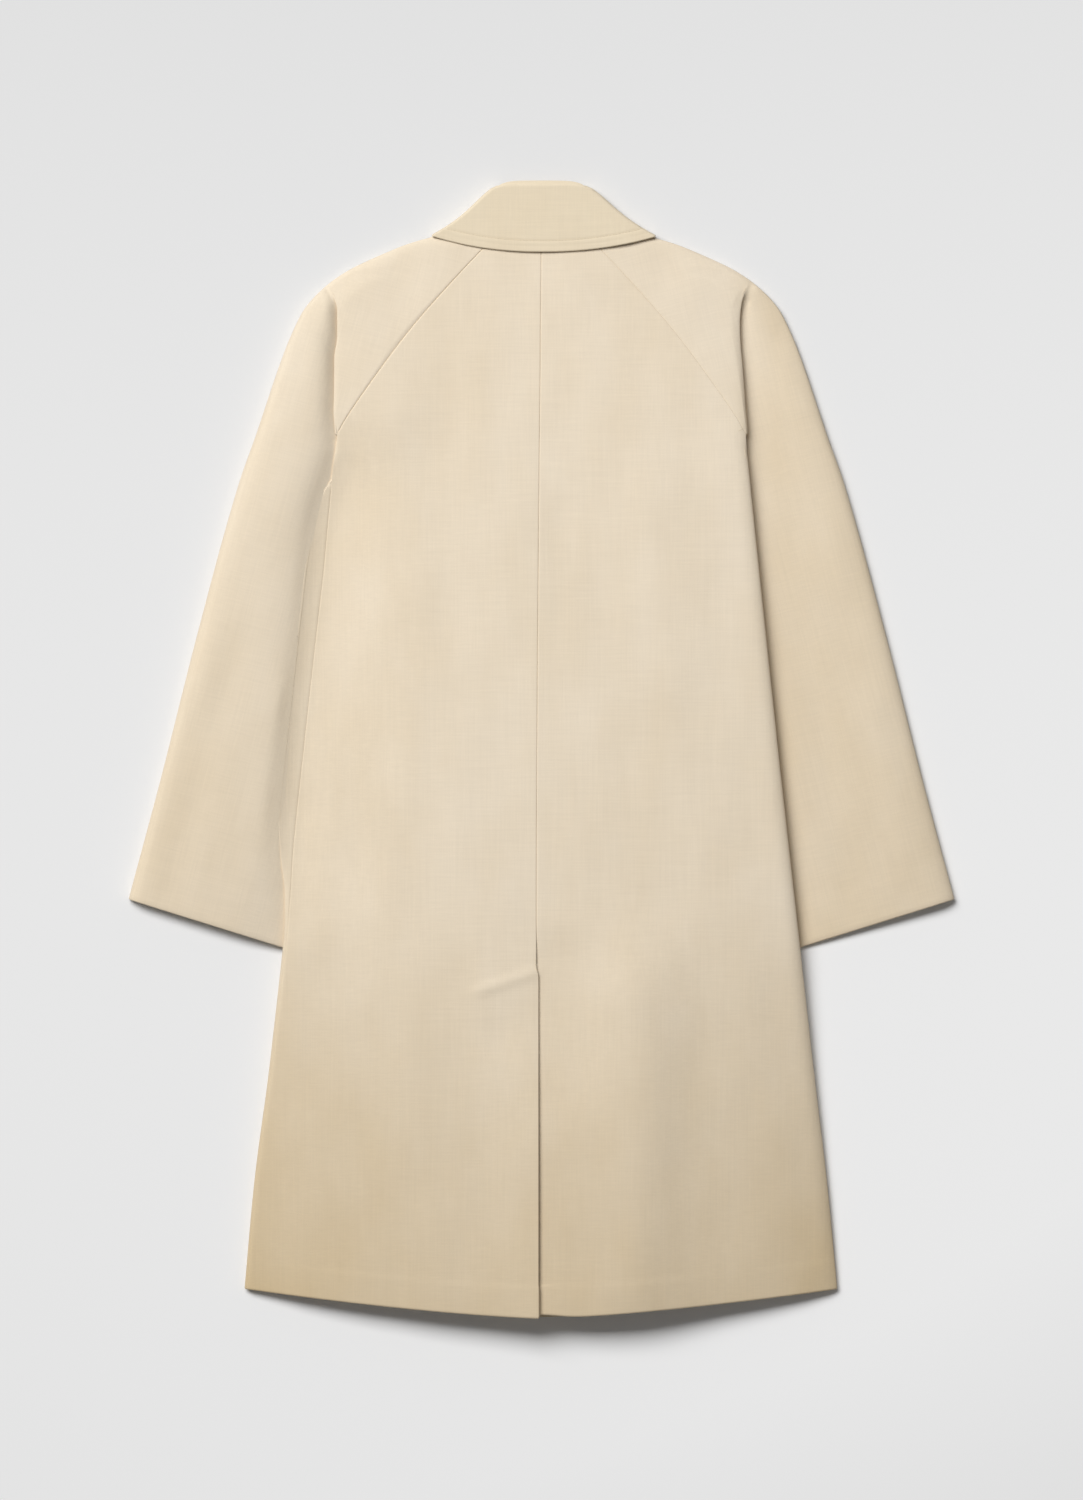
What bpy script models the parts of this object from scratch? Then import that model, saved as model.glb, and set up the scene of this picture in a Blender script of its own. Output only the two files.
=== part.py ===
"""A raglan car coat lying flat with its back up. Sizes in millimetres, +Y towards the collar, +Z up.

X below is the distance from the centre line towards the side in hand: side +1 lies at +X, side -1 at -X.
"""

from collections import namedtuple

import bmesh
import bpy
import numpy as np

MM = 0.001

# Cloth
WALL = 2.0
COLLAR_WALL = 2.4
SEAM_GAP = 0.3
SIDE_GAP = 0.5
CLOTH_COLOUR = (0.72, 0.62, 0.47)
COLLAR_COLOUR = (0.74, 0.64, 0.49)
CLOTH_ROUGHNESS = 0.9

# Body outline
COAT_LENGTH = 1136.0
HALF_LENGTH = COAT_LENGTH / 2
UNDERARM_HALF = 205.0
UNDERARM_Y = 300.0
HEM_HALF = 295.0
HEM_RISE = 28.0
HEM_BEND_Y = 0.0
NECK_Y = 524.0
NECK_SIDE_X = 76.0
FRONT_NECK_GAP = 0.5
STAND_FRONT_Y = 417.0
STAND_NECK_GAP = 0.7
NECK_SIDE_RISE = 9.0
NECK_FLAT_Y = 500.0

# Section of the body: an arch with a rolled edge on top, a quarter ellipse under each side
ARCH_ROUND = 2.3
ROLL_WIDTH = 14.0
ROLL_U = 0.625
CURL_SHARE = 0.5
WRAP_SHARE = 0.5
WRAP_HALF = 5.0
WRAP_POWER = 1.6
UNDERARM_BLEND = (266.0, 290.0)
UNDERARM_TOP = (284.0, 300.0)
FRONT_UNDERARM = (262.0, 297.0)
COLUMN_BLEND = (310.0, 380.0)
PLEAT_EASE = 1.9
PLEAT_EASE_Y = (320.0, 338.0)
CURL_LIMIT = 0.4

# Centre-back vent
VENT_TOP_Y = -220.0
VENT_LAP = 46.0
VENT_SPREAD = 70.0
VENT_LIP_U = 0.12
SEAM_LIP = 12.0

# Front lap and what the collar leaves raise
FRONT_LAP = 30.0
LAP_RAISE = WALL + 0.4
LAP_RAMP = (34.0, 66.0)
LEAF_LIFT = COLLAR_WALL + 0.9
LEAF_RAMP_Y = (340.0, 374.0)
LEAF_RAMP_X = (118.0, 175.0)
FRONT_NECK_Y = 414.0

# Sleeve
FOLD_X = 204.0
EDGE_TOP = 2 * WALL + SEAM_GAP
CUFF_INNER_Y = -196.0
INSEAM_START = 0.03
SLEEVE_POINTS = 12
TURN_LIMIT = 0.9
YOKE_SHARES = (0.0, 0.12, 0.26, 0.40, 0.52, 0.62, 0.70, 0.78, 0.86, 0.93, 0.98, 1.0)
YOKE_ROUND = 2.4
YOKE_ROLL = 1.7

# Collar, as shares of the way from the centre back to the front edge
FOLD_FROM = 0.42
FOLD_TO = 0.58
FALL_BULGE = 7.0
STAND_BULGE = 3.0
FALL_ROLL_Z = 13.8
FALL_EDGE_RISE = 2.5
FALL_SIDE_DROP = 1.2
STAND_Z = 11.0
STAND_SIDE_DROP = 3.0
ROLL_IN = 2.2
ROLL_SHARE = 0.1
FOLD_OUTWARD = (0.632, 0.775)
FALL_ROLL_CORNER = (41.0, 561.5)
FALL_EDGE_CORNER = (106.0, 508.5)
FALL_FRONT_ROLL = (5.0, 452.0)
FALL_POINT = (74.0, 376.0)
FALL_EDGE_Y = 497.5
FALL_EDGE_BOW = 6.0
STAND_ROLL_CORNER = (48.0, 553.5)
STAND_FRONT_ROLL = (14.0, 440.0)
STAND_TOP_INSET = 7.5

Station = namedtuple("Station", "y crown edge roll curl")
BODY = (
    Station(-568, 36.5, 4.6, 4.0, 10),
    Station(-450, 34.0, 5.5, 6.0, 12),
    Station(-260, 30.5, 9.0, 7.0, 22),
    Station(-150, 28.0, 12.0, 7.0, 26),
    Station(100, 24.5, 12.0, 6.5, 26),
    Station(316, 21.0, 12.0, 5.5, 26),
    Station(450, 15.5, 11.0, 2.5, 26),
    Station(498, 12.6, 10.0, 1.0, 26),
    Station(532, 11.0, 9.5, 0.5, 26),
)

Side = namedtuple("Side", "y bulge turn")
LEFT_SIDE = (
    Side(-568, 0, 2),
    Side(-200, 1, 3),
    Side(-90, 8, 10),
    Side(0, 10, 13),
    Side(190, 9, 12),
    Side(262, 3, 0),
    Side(300, 0, 0),
)

Centre = namedtuple("Centre", "y x drop")
CENTRE_BACK = (
    Centre(-568, -3.5, 6.8),
    Centre(-400, -3.5, 4.8),
    Centre(-226, -3.5, 2.8),
    Centre(-214, -5.0, 2.8),
    Centre(-170, -5.0, 0),
    Centre(526, 0, 0),
)

Seam = namedtuple("Seam", "y x")
RAGLAN_BACK = (
    Seam(316, 204),
    Seam(330, 196),
    Seam(365, 172),
    Seam(420, 131),
    Seam(478, 80),
    Seam(526, 34),
)
RAGLAN_FRONT = (Seam(297, 203), Seam(340, 172), Seam(400, 122), Seam(440, 88), Seam(474, 54))
FRONT_NECK = (Seam(414, 10), Seam(428, 30), Seam(448, 44), Seam(474, 53), Seam(533, 76))

Tuck = namedtuple("Tuck", "y depth")
INSEAM_TUCK = (Tuck(-200, 3), Tuck(215, 3), Tuck(265, -1.2), Tuck(300, -1.2))

OVERARM = (
    (76, 529.5),
    (104, 509),
    (148, 502),
    (186, 484),
    (217, 465),
    (236, 446),
    (262, 390),
    (302, 270),
    (345, 120),
    (384, -30),
    (414, -148),
)

# Back sleeve sections: inner counts 0 to 1 down the raglan seam and 1 to 2 down the inseam
Section = namedtuple("Section", "row inner overarm fold depth crest trim tube")
SLEEVE_BACK = (
    Section(0, 0.00, 0, 0.0, 0, 8, 0.000, 0),
    Section(3, 0.30, 75, 0.0, 0, 8, 0.000, 0),
    Section(6, 0.53, 130, 0.0, 0, 8, 0.000, 0),
    Section(8, 0.66, 158, 0.2, 4, 8, 0.000, 0),
    Section(10, 0.80, 187, 0.9, 13, 8, 0.000, 0),
    Section(12, 0.90, 222, 1.0, 15, 8, 0.000, 0),
    Section(14, 0.97, 268, 1.0, 11, 8, 0.150, 0),
    Section(15, 1.00, 300, 1.0, 6, 8, 0.250, 0),
    Section(17, 1.02, 328, 1.0, 3, 8, 0.556, 1),
    Section(19, 1.12, 377, 1.0, 0, 8, 0.556, 1),
    Section(28, 2.00, 806, 1.0, 0, 8, 0.556, 1),
)
Row = namedtuple("Row", "row inner overarm")
SLEEVE_FRONT = (Row(0, 0, 0), Row(5, 0.5, 140), Row(10, 1.0, 318), Row(20, 2.0, 806))

# Control points across a back sleeve where it folds under the body's side, from the raglan seam out.
# The plan distance adds shares of the way to the fold, of the pleat depth and of the way past the fold.
Pleat = namedtuple("Pleat", "turn depth over shift level rise")
PLEAT = (
    Pleat(0.00, 0.0, 0.0, 0.0, "top", 0),
    Pleat(0.40, 0.0, 0.0, 0.0, "top", 0),
    Pleat(0.75, 0.0, 0.0, 0.0, "top", 0),
    Pleat(1.00, 0.0, 0.0, -2.0, "top", 0),
    Pleat(1.00, 0.0, 0.0, 2.5, "roll", 0),
    Pleat(1.00, -0.5, 0.0, 0.0, "roll", -3),
    Pleat(1.00, -1.0, 0.0, -3.0, "roll", -5),
    Pleat(1.00, -0.3, 0.0, 0.0, "roll", -6),
    Pleat(1.00, 0.0, 0.3, 0.0, "crest", 0),
    Pleat(1.00, 0.0, 0.7, 0.0, "crest", 0),
    Pleat(1.00, 0.0, 1.0, -3.0, "edge", 2),
    Pleat(1.00, 0.0, 1.0, 0.0, "edge", 0),
)

# Control points across a back sleeve below the underarm, from the inseam out
Tube = namedtuple("Tube", "length shift level rise")
TUBE = (
    Tube(0.00, -8, "floor", 6.0),
    Tube(0.00, -7, "floor", 6.0),
    Tube(0.00, -6, "floor", 5.5),
    Tube(0.00, -4, "floor", 5.0),
    Tube(0.00, -3, "floor", 4.9),
    Tube(0.00, -2, "floor", 4.7),
    Tube(0.00, 0, "floor", 4.5),
    Tube(0.00, 6, "floor", 5.0),
    Tube(0.35, 0, "crest", 0.0),
    Tube(0.70, 0, "crest", 0.0),
    Tube(1.00, -3, "edge", 2.0),
    Tube(1.00, 0, "edge", 0.0),
)

Knot = namedtuple("Knot", "distance x y")


def spaced(start, stop, count):
    return list(np.linspace(start, stop, count))


SIDE_ROWS = [266, 259, 251, 240] + spaced(215, -190, 8) + [-214, -226] + spaced(-290, -568, 5)
BACK_ROWS = spaced(NECK_Y, 316, 11) + [306, 296, 284] + SIDE_ROWS
FRONT_ROWS = (
    [468, 458, 445, 432, 422, 416, 411] + spaced(395, 298, 6) + [290, 282, 274] + SIDE_ROWS
)
BACK_COLUMNS = 9
FRONT_COLUMNS = 8
SLEEVE_BACK_COLUMNS = 16
SLEEVE_FRONT_COLUMNS = 6
FALL_ROWS = [0.0, 0.04, 0.1, 0.35, 0.7, 1.0]
STAND_ROWS = 3
NORMAL_STEP = 1e-4

COLLAR_HALF = spaced(0, FOLD_FROM, 7) + spaced(FOLD_FROM, FOLD_TO, 8)[1:] + spaced(FOLD_TO, 1, 6)[1:]
COLLAR_STEPS = [-t for t in reversed(COLLAR_HALF[1:])] + COLLAR_HALF


def ramp(low, high, value):
    """Smooth step from 0 at low to 1 at high."""
    share = np.clip((value - low) / (high - low), 0.0, 1.0)
    return share * share * (3 - 2 * share)


def mix(start, stop, share):
    return start + (stop - start) * share


def along(table, column, value):
    """A column of a table at a value of its first column, by a cubic that never overshoots."""
    keys = np.array([row[0] for row in table], float)
    data = np.array([getattr(row, column) for row in table], float)
    steps = np.diff(keys)
    secants = np.diff(data) / steps
    slopes = np.concatenate([secants[:1], np.zeros(len(keys) - 2), secants[-1:]])
    before, after = secants[:-1], secants[1:]
    turning = before * after <= 0
    total = np.where(turning, 1.0, before + after)
    slopes[1:-1] = np.where(turning, 0.0, 2 * before * after / total)
    value = np.clip(value, keys[0], keys[-1])
    k = np.clip(np.searchsorted(keys, value, side="right") - 1, 0, len(keys) - 2)
    t = (value - keys[k]) / steps[k]
    start = data[k] * (1 + 2 * t) * (1 - t) ** 2 + slopes[k] * steps[k] * t * (1 - t) ** 2
    stop = data[k + 1] * t * t * (3 - 2 * t) + slopes[k + 1] * steps[k] * t * t * (t - 1)
    return start + stop


def measured(points):
    """A plan line as a table of distance along it, x and y."""
    plan = np.array(points, float)
    lengths = np.hypot(*np.diff(plan, axis=0).T)
    distance = np.concatenate([[0.0], np.cumsum(lengths)])
    return [Knot(d, x, y) for d, (x, y) in zip(distance, plan)]


def row_at(rows, v):
    return np.interp(v * (len(rows) - 1), np.arange(len(rows)), rows)


def spline_weights(q, count):
    """Weights of the control points of a clamped cubic B-spline at q, one row per point."""
    inner = np.linspace(0, 1, count - 2)
    knots = np.concatenate([[0, 0, 0], inner, [1, 1, 1]])
    q = np.clip(q, 0.0, 1.0 - 1e-9)
    weights = [np.where((knots[i] <= q) & (q < knots[i + 1]), 1.0, 0.0) for i in range(count + 3)]
    for degree in (1, 2, 3):
        raised = []
        for i in range(count + 3 - degree):
            rise = knots[i + degree] - knots[i]
            fall = knots[i + degree + 1] - knots[i + 1]
            total = np.zeros_like(q)
            if rise > 0:
                total = total + (q - knots[i]) / rise * weights[i]
            if fall > 0:
                total = total + (knots[i + degree + 1] - q) / fall * weights[i + 1]
            raised.append(total)
        weights = raised
    return np.array(weights)


def side_bulge(side, y):
    return along(LEFT_SIDE, "bulge", y) if side < 0 else np.zeros_like(y)


def seam_turn(side, y):
    """How far the side seam lies on top, in from the rolled side."""
    return along(LEFT_SIDE, "turn", y) if side < 0 else np.zeros_like(y)


def side_reach(side, y):
    """X of the rolled side."""
    flare = (HEM_HALF - UNDERARM_HALF) / (UNDERARM_Y + HALF_LENGTH)
    return UNDERARM_HALF + (UNDERARM_Y - np.minimum(y, UNDERARM_Y)) * flare + side_bulge(side, y)


def top_height(side, x, y):
    """Height of the coat's back at X, y."""
    edge = along(BODY, "edge", y)
    roll = along(BODY, "roll", y)
    reach = side_reach(side, y)
    share = np.clip(np.abs(x) / reach, 0.0, 1.0)
    into = np.clip((reach - np.abs(x)) / ROLL_WIDTH, 0.0, 1.0)
    rolled = roll * np.sqrt(1 - (1 - into) ** 2)
    return edge + rolled + (along(BODY, "crown", y) - edge - roll) * (1 - share**ARCH_ROUND)


def hem_bend(x, y):
    """Rise of a row towards the sides, so that the last row is the curved hem."""
    share = np.clip((HEM_BEND_Y - y) / (HEM_BEND_Y + HALF_LENGTH), 0.0, 1.0)
    return HEM_RISE * share * (x / HEM_HALF) ** 2


def neck_bend(x, y):
    """Rise of the upper rows of the back towards the sides of the neck."""
    return NECK_SIDE_RISE * (x / NECK_SIDE_X) ** 2 * ramp(NECK_FLAT_Y, NECK_Y, y)


def leaf_lift(x, y):
    """How far the collar leaves under the coat raise its front."""
    near = 1 - ramp(*LEAF_RAMP_X, np.abs(x))
    return LEAF_LIFT * ramp(*LEAF_RAMP_Y, y) * near


def back_point(side, u, v):
    """Back panel: u from the centre back to the raglan or side seam, v from the neck to the hem."""
    y = row_at(BACK_ROWS, v)
    centre = side * along(CENTRE_BACK, "x", y) + SEAM_GAP / 2
    vent = (y < VENT_TOP_Y) & (side > 0)
    inner = np.where(vent, -VENT_LAP, centre)
    lip = np.where(vent, centre, centre + SEAM_LIP)
    turn = seam_turn(side, y)
    rolled = side_reach(side, y) - np.where(turn > 0, turn + SEAM_GAP / 2, 0.0)
    raglan = along(RAGLAN_BACK, "x", y + neck_bend(along(RAGLAN_BACK, "x", y), y)) - SEAM_GAP
    raglan = raglan - PLEAT_EASE * (1 - ramp(*PLEAT_EASE_Y, y))
    outer = mix(rolled, raglan, ramp(*UNDERARM_TOP, y))
    w = np.clip((u - VENT_LIP_U) / (1 - VENT_LIP_U), 0.0, 1.0)
    turned = np.sin(np.clip((w - ROLL_U) / (1 - ROLL_U), 0, 1) * np.pi / 2)
    roll_start = outer - ROLL_WIDTH
    rolled_x = np.where(w < ROLL_U, mix(lip, roll_start, w / ROLL_U), mix(roll_start, outer, turned))
    across = mix(rolled_x, mix(lip, outer, w), ramp(*COLUMN_BLEND, y))
    x = np.where(u < VENT_LIP_U, mix(inner, lip, u / VENT_LIP_U), across)
    z = top_height(side, x, y)
    if side > 0:
        z = z - along(CENTRE_BACK, "drop", y) * (1 - ramp(0, VENT_SPREAD, x))
    return side * x, y + hem_bend(x, y) + neck_bend(x, y), z


def front_point(side, u, v):
    """Front panel: u from the side or raglan seam round the rolled side to the centre front."""
    y = row_at(FRONT_ROWS, v)
    below = 1 - ramp(*UNDERARM_BLEND, y)
    raglan = along(RAGLAN_FRONT, "x", y) - SEAM_GAP
    reach = mix(side_reach(side, y), raglan, ramp(*FRONT_UNDERARM, y))
    turn = np.maximum(seam_turn(side, y) - SIDE_GAP, 0.0) * below
    height = along(BODY, "edge", y) * below
    curled = u / CURL_SHARE
    flat = (u - CURL_SHARE) / (1 - CURL_SHARE)
    wrap = np.maximum(WRAP_SHARE * turn / (turn + WRAP_HALF), 1e-9)
    on_top = (curled < wrap) & (turn > 0)
    top_x = reach - turn * np.clip(1 - curled / wrap, 0, 1) ** WRAP_POWER
    drop = np.where(turn > 0, 0.0, np.arcsin(SIDE_GAP / np.maximum(height, 1.0)))
    angle = np.clip((1 - curled) / (1 - wrap), 0, 1) * (np.pi / 2 - drop)
    lapped = y < FRONT_NECK_Y
    inner = np.where(lapped, -FRONT_LAP, along(FRONT_NECK, "x", y) + FRONT_NECK_GAP)
    curl = np.minimum(along(BODY, "curl", y), CURL_LIMIT * (reach - inner))
    under_x = reach - curl + curl * np.sin(angle)
    flat_x = front_columns(reach - curl, inner, lapped, flat)
    x = np.where(u < CURL_SHARE, np.where(on_top, top_x, under_x), flat_x)
    under_z = height * (1 - np.cos(angle))
    ground = leaf_lift(x, y)
    if side < 0:
        ground = ground + LAP_RAISE * (1 - ramp(*LAP_RAMP, x))
    z = np.where(u < CURL_SHARE, np.where(on_top, top_height(side, x, y), under_z), 0.0) + ground
    return side * x, y + hem_bend(x, y), z


def front_columns(start, inner, lapped, share):
    """X of the flat columns, which stand closer where one front climbs onto the other."""
    high, low = LAP_RAMP[1], LAP_RAMP[0]
    stops = [start, mix(start, high, 0.5), start * 0 + high, start * 0 + low, inner]
    step = np.clip(share, 0, 1) * (len(stops) - 1)
    x = sum(stop * np.clip(1 - np.abs(step - k), 0, 1) for k, stop in enumerate(stops))
    return np.where(lapped, x, mix(start, inner, share))


def inseam_x(side, y):
    return side_reach(side, y) - along(INSEAM_TUCK, "depth", y)


def sleeve_ends(side, seam, table, v):
    """Plan ends of a sleeve row: on the raglan seam or inseam, and on the overarm seam."""
    row = v * table[-1].row
    inner = along(table, "inner", row)
    line = measured([(knot.x + SEAM_GAP, knot.y) for knot in reversed(seam)])
    reached = np.clip(inner, 0, 1) * line[-1].distance
    down = np.clip(inner - 1, 0, 1)
    inseam_y = mix(line[-1].y, CUFF_INNER_Y, down)
    on_inseam = ramp(0, INSEAM_START, down)
    x_in = mix(along(line, "x", reached), inseam_x(side, inseam_y), on_inseam)
    y_in = np.where(inner > 1, inseam_y, along(line, "y", reached))
    edge = measured(OVERARM)
    distance = along(table, "overarm", row) / table[-1].overarm * edge[-1].distance
    return x_in, y_in, along(edge, "x", distance), along(edge, "y", distance)


def sleeve_back_point(side, u, v):
    """Back sleeve: u from the raglan seam, over and under the pleat, to the overarm seam."""
    x_in, y_in, x_out, y_out = sleeve_ends(side, RAGLAN_BACK, SLEEVE_BACK, v)
    row = v * SLEEVE_BACK[-1].row
    fold, depth, crest, trim, tube = (
        along(SLEEVE_BACK, name, row) for name in ("fold", "depth", "crest", "trim", "tube")
    )
    length = np.hypot(x_out - x_in, y_out - y_in)
    step_x, step_y = (x_out - x_in) / length, (y_out - y_in) / length
    edge = leaf_lift(x_out, y_out) + EDGE_TOP
    share = np.array(YOKE_SHARES)[:, None]
    rise = (1 - share**YOKE_ROUND) ** (1 / YOKE_ROLL)
    yoke_a = share * length
    yoke_z = edge + (top_height(side, x_in, y_in) - edge) * rise
    turn = np.clip((FOLD_X - x_in) / step_x, 0, TURN_LIMIT * length)
    fold_a = np.array([p.turn * turn + p.depth * depth + p.over * (length - turn) + p.shift for p in PLEAT])
    tube_a = np.array([p.length * length + p.shift for p in TUBE])
    levels = {
        "top": top_height(side, x_in + fold_a * step_x, y_in + fold_a * step_y),
        "roll": along(BODY, "edge", y_in) + 0 * fold_a,
        "crest": crest + 0 * fold_a,
        "edge": edge + 0 * fold_a,
        "floor": 0 * fold_a,
    }
    fold_z = np.array([levels[p.level][k] + p.rise for k, p in enumerate(PLEAT)])
    tube_z = np.array([levels[p.level][k] + p.rise for k, p in enumerate(TUBE)])
    points_a = mix(mix(yoke_a, fold_a, fold), tube_a, tube)
    points_z = mix(mix(yoke_z, fold_z, fold), tube_z, tube)
    weights = spline_weights(mix(trim, 1.0, u), SLEEVE_POINTS)
    reach = (weights * points_a).sum(0)
    x = x_in + reach * step_x
    y = y_in + reach * step_y
    return side * x, y, (weights * points_z).sum(0)


def sleeve_front_point(side, u, v):
    """Front sleeve: flat on the floor between the raglan seam or inseam and the overarm seam."""
    x_in, y_in, x_out, y_out = sleeve_ends(side, RAGLAN_FRONT, SLEEVE_FRONT, v)
    x = mix(x_in, x_out, u)
    y = mix(y_in, y_out, u)
    return side * x, y, leaf_lift(x, y)


def collar_path(t, back, front, bulge, back_z, front_z):
    """A point that runs over the back, round the side fold and under the front."""
    reach = np.abs(t)
    share_back = np.clip(reach / FOLD_FROM, 0, 1)
    share_front = np.clip((reach - FOLD_TO) / (1 - FOLD_TO), 0, 1)
    angle = np.clip((reach - FOLD_FROM) / (FOLD_TO - FOLD_FROM), 0, 1) * np.pi
    x_back, y_back = back(share_back)
    x_front, y_front = front(share_front)
    under = reach > FOLD_TO
    x = np.where(under, x_front, x_back) + bulge * np.sin(angle) * FOLD_OUTWARD[0]
    y = np.where(under, y_front, y_back) + bulge * np.sin(angle) * FOLD_OUTWARD[1]
    z = mix(back_z, front_z, (1 - np.cos(angle)) / 2)
    return np.where(t < 0, -x, x), y, z


def fall_point(u, v):
    """Collar fall: u from one front edge round the neck to the other, v from the roll line to the edge."""
    t = row_at(COLLAR_STEPS, u)
    v = row_at(FALL_ROWS, v)
    side = np.clip(np.abs(t) / FOLD_FROM, 0, 1)
    roll_in = ROLL_IN * (1 - ramp(0, ROLL_SHARE, v))

    def back(share):
        roll_y = mix(HALF_LENGTH, FALL_ROLL_CORNER[1], share**4)
        edge_y = mix(FALL_EDGE_Y, FALL_EDGE_CORNER[1], share**2)
        return mix(FALL_ROLL_CORNER[0], FALL_EDGE_CORNER[0], v) * share, mix(roll_y, edge_y, v)

    def front(share):
        roll_x = mix(FALL_ROLL_CORNER[0], FALL_FRONT_ROLL[0], share)
        roll_y = mix(FALL_ROLL_CORNER[1], FALL_FRONT_ROLL[1], share)
        bow = FALL_EDGE_BOW * np.sin(np.pi * share)
        edge_x = mix(FALL_EDGE_CORNER[0], FALL_POINT[0], share) + bow
        edge_y = mix(FALL_EDGE_CORNER[1], FALL_POINT[1], share)
        return mix(roll_x, edge_x, v), mix(roll_y, edge_y, v)

    back_z = FALL_ROLL_Z + (FALL_EDGE_RISE - FALL_SIDE_DROP * side**2) * v - roll_in
    return collar_path(t, back, front, FALL_BULGE - roll_in, back_z, roll_in)


def stand_point(u, v):
    """Collar stand: u round the neck, v from the roll line to the neck seam."""
    t = row_at(COLLAR_STEPS, u)
    side = np.clip(np.abs(t) / FOLD_FROM, 0, 1)

    def back(share):
        roll_y = mix(HALF_LENGTH - STAND_TOP_INSET, STAND_ROLL_CORNER[1], share**4)
        base_x = NECK_SIDE_X * share
        base_y = NECK_Y + NECK_SIDE_RISE * share**2 + SEAM_GAP
        return mix(STAND_ROLL_CORNER[0] * share, base_x, v), mix(roll_y, base_y, v)

    def front(share):
        roll_x = mix(STAND_ROLL_CORNER[0], STAND_FRONT_ROLL[0], share)
        roll_y = mix(STAND_ROLL_CORNER[1], STAND_FRONT_ROLL[1], share)
        base_y = mix(NECK_Y + NECK_SIDE_RISE, STAND_FRONT_Y, share) + SEAM_GAP
        base_x = along(FRONT_NECK, "x", base_y) - STAND_NECK_GAP
        return mix(roll_x, base_x, v), mix(roll_y, base_y, v)

    back_z = STAND_Z - STAND_SIDE_DROP * side**3 * v
    return collar_path(t, back, front, STAND_BULGE, back_z, LEAF_LIFT)


def wall_points(surface, u, v, depth):
    """Points of a cloth wall: the surface, or that far behind it."""
    step = NORMAL_STEP

    def at(share_u, share_v):
        return np.stack(surface(np.clip(share_u, 0, 1), np.clip(share_v, 0, 1)), axis=-1)

    across = at(u + step, v) - at(u - step, v)
    down = at(u, v + step) - at(u, v - step)
    normal = np.cross(across, down)
    normal = normal / np.linalg.norm(normal, axis=-1, keepdims=True)
    return at(u, v) + normal * depth[:, None]


def cloth_wall(name, surface, columns, rows, turned, thickness, colour, home):
    """A grid mapped onto a surface, with a second layer behind it; turned swaps the side behind."""
    mesh = bpy.data.meshes.new(name)
    grid = bmesh.new()
    bmesh.ops.create_grid(grid, x_segments=columns, y_segments=rows, size=0.5)
    layer = bmesh.ops.extrude_face_region(grid, geom=grid.faces[:], use_keep_orig=True)
    behind = [item for item in layer["geom"] if isinstance(item, bmesh.types.BMVert)]
    bmesh.ops.translate(grid, verts=behind, vec=(0, 0, -1))
    flat = np.array([vert.co[:] for vert in grid.verts])
    u = np.clip(flat[:, 0] + 0.5, 0, 1)
    v = np.clip(flat[:, 1] + 0.5, 0, 1)
    depth = -flat[:, 2] * thickness * (-1 if turned else 1)
    for vert, point in zip(grid.verts, wall_points(surface, u, v, depth)):
        vert.co = point * MM
    bmesh.ops.recalc_face_normals(grid, faces=grid.faces[:])
    if grid.calc_volume(signed=True) < 0:
        bmesh.ops.reverse_faces(grid, faces=grid.faces[:])
    grid.to_mesh(mesh)
    grid.free()
    mesh.materials.append(cloth_material(name, colour))
    home.objects.link(bpy.data.objects.new(name, mesh))


def cloth_material(name, colour):
    material = bpy.data.materials.new(f"{name}_cloth")
    material.use_nodes = True
    shader = material.node_tree.nodes["Principled BSDF"]
    shader.inputs["Base Color"].default_value = (*colour, 1.0)
    shader.inputs["Roughness"].default_value = CLOTH_ROUGHNESS
    shader.inputs["Metallic"].default_value = 0.0
    return material


def body_panels(home):
    for side, word in ((-1, "left"), (1, "right")):
        turned = side < 0
        cloth_wall(f"back_{word}", lambda u, v: back_point(side, u, v), BACK_COLUMNS,
                   len(BACK_ROWS) - 1, turned, WALL, CLOTH_COLOUR, home)
        cloth_wall(f"front_{word}", lambda u, v: front_point(side, u, v), FRONT_COLUMNS,
                   len(FRONT_ROWS) - 1, turned, WALL, CLOTH_COLOUR, home)


def sleeves(home):
    for side, word in ((-1, "left"), (1, "right")):
        turned = side < 0
        cloth_wall(f"sleeve_back_{word}", lambda u, v: sleeve_back_point(side, u, v),
                   SLEEVE_BACK_COLUMNS, SLEEVE_BACK[-1].row, turned, WALL, CLOTH_COLOUR, home)
        cloth_wall(f"sleeve_front_{word}", lambda u, v: sleeve_front_point(side, u, v),
                   SLEEVE_FRONT_COLUMNS, SLEEVE_FRONT[-1].row, not turned, WALL, CLOTH_COLOUR, home)


def collar(home):
    columns = len(COLLAR_STEPS) - 1
    cloth_wall("collar_fall", fall_point, columns, len(FALL_ROWS) - 1, False, COLLAR_WALL,
               COLLAR_COLOUR, home)
    cloth_wall("collar_stand", stand_point, columns, STAND_ROWS, False, WALL, COLLAR_COLOUR, home)


def main():
    for old in list(bpy.data.objects):
        bpy.data.objects.remove(old, do_unlink=True)
    home = bpy.data.collections.new("car_coat")
    bpy.context.scene.collection.children.link(home)
    body_panels(home)
    sleeves(home)
    collar(home)


main()
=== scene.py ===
"""A raglan car coat lying flat with its back up, on a pale floor in soft light.

Lengths are in millimetres until a mesh is made. +Y points to the collar and +Z up.
X counts from the centre line towards the side in hand: side +1 lies at +X and side -1 at -X.
"""

from collections import namedtuple

import bpy
import numpy as np
from mathutils import Matrix, Vector

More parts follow.
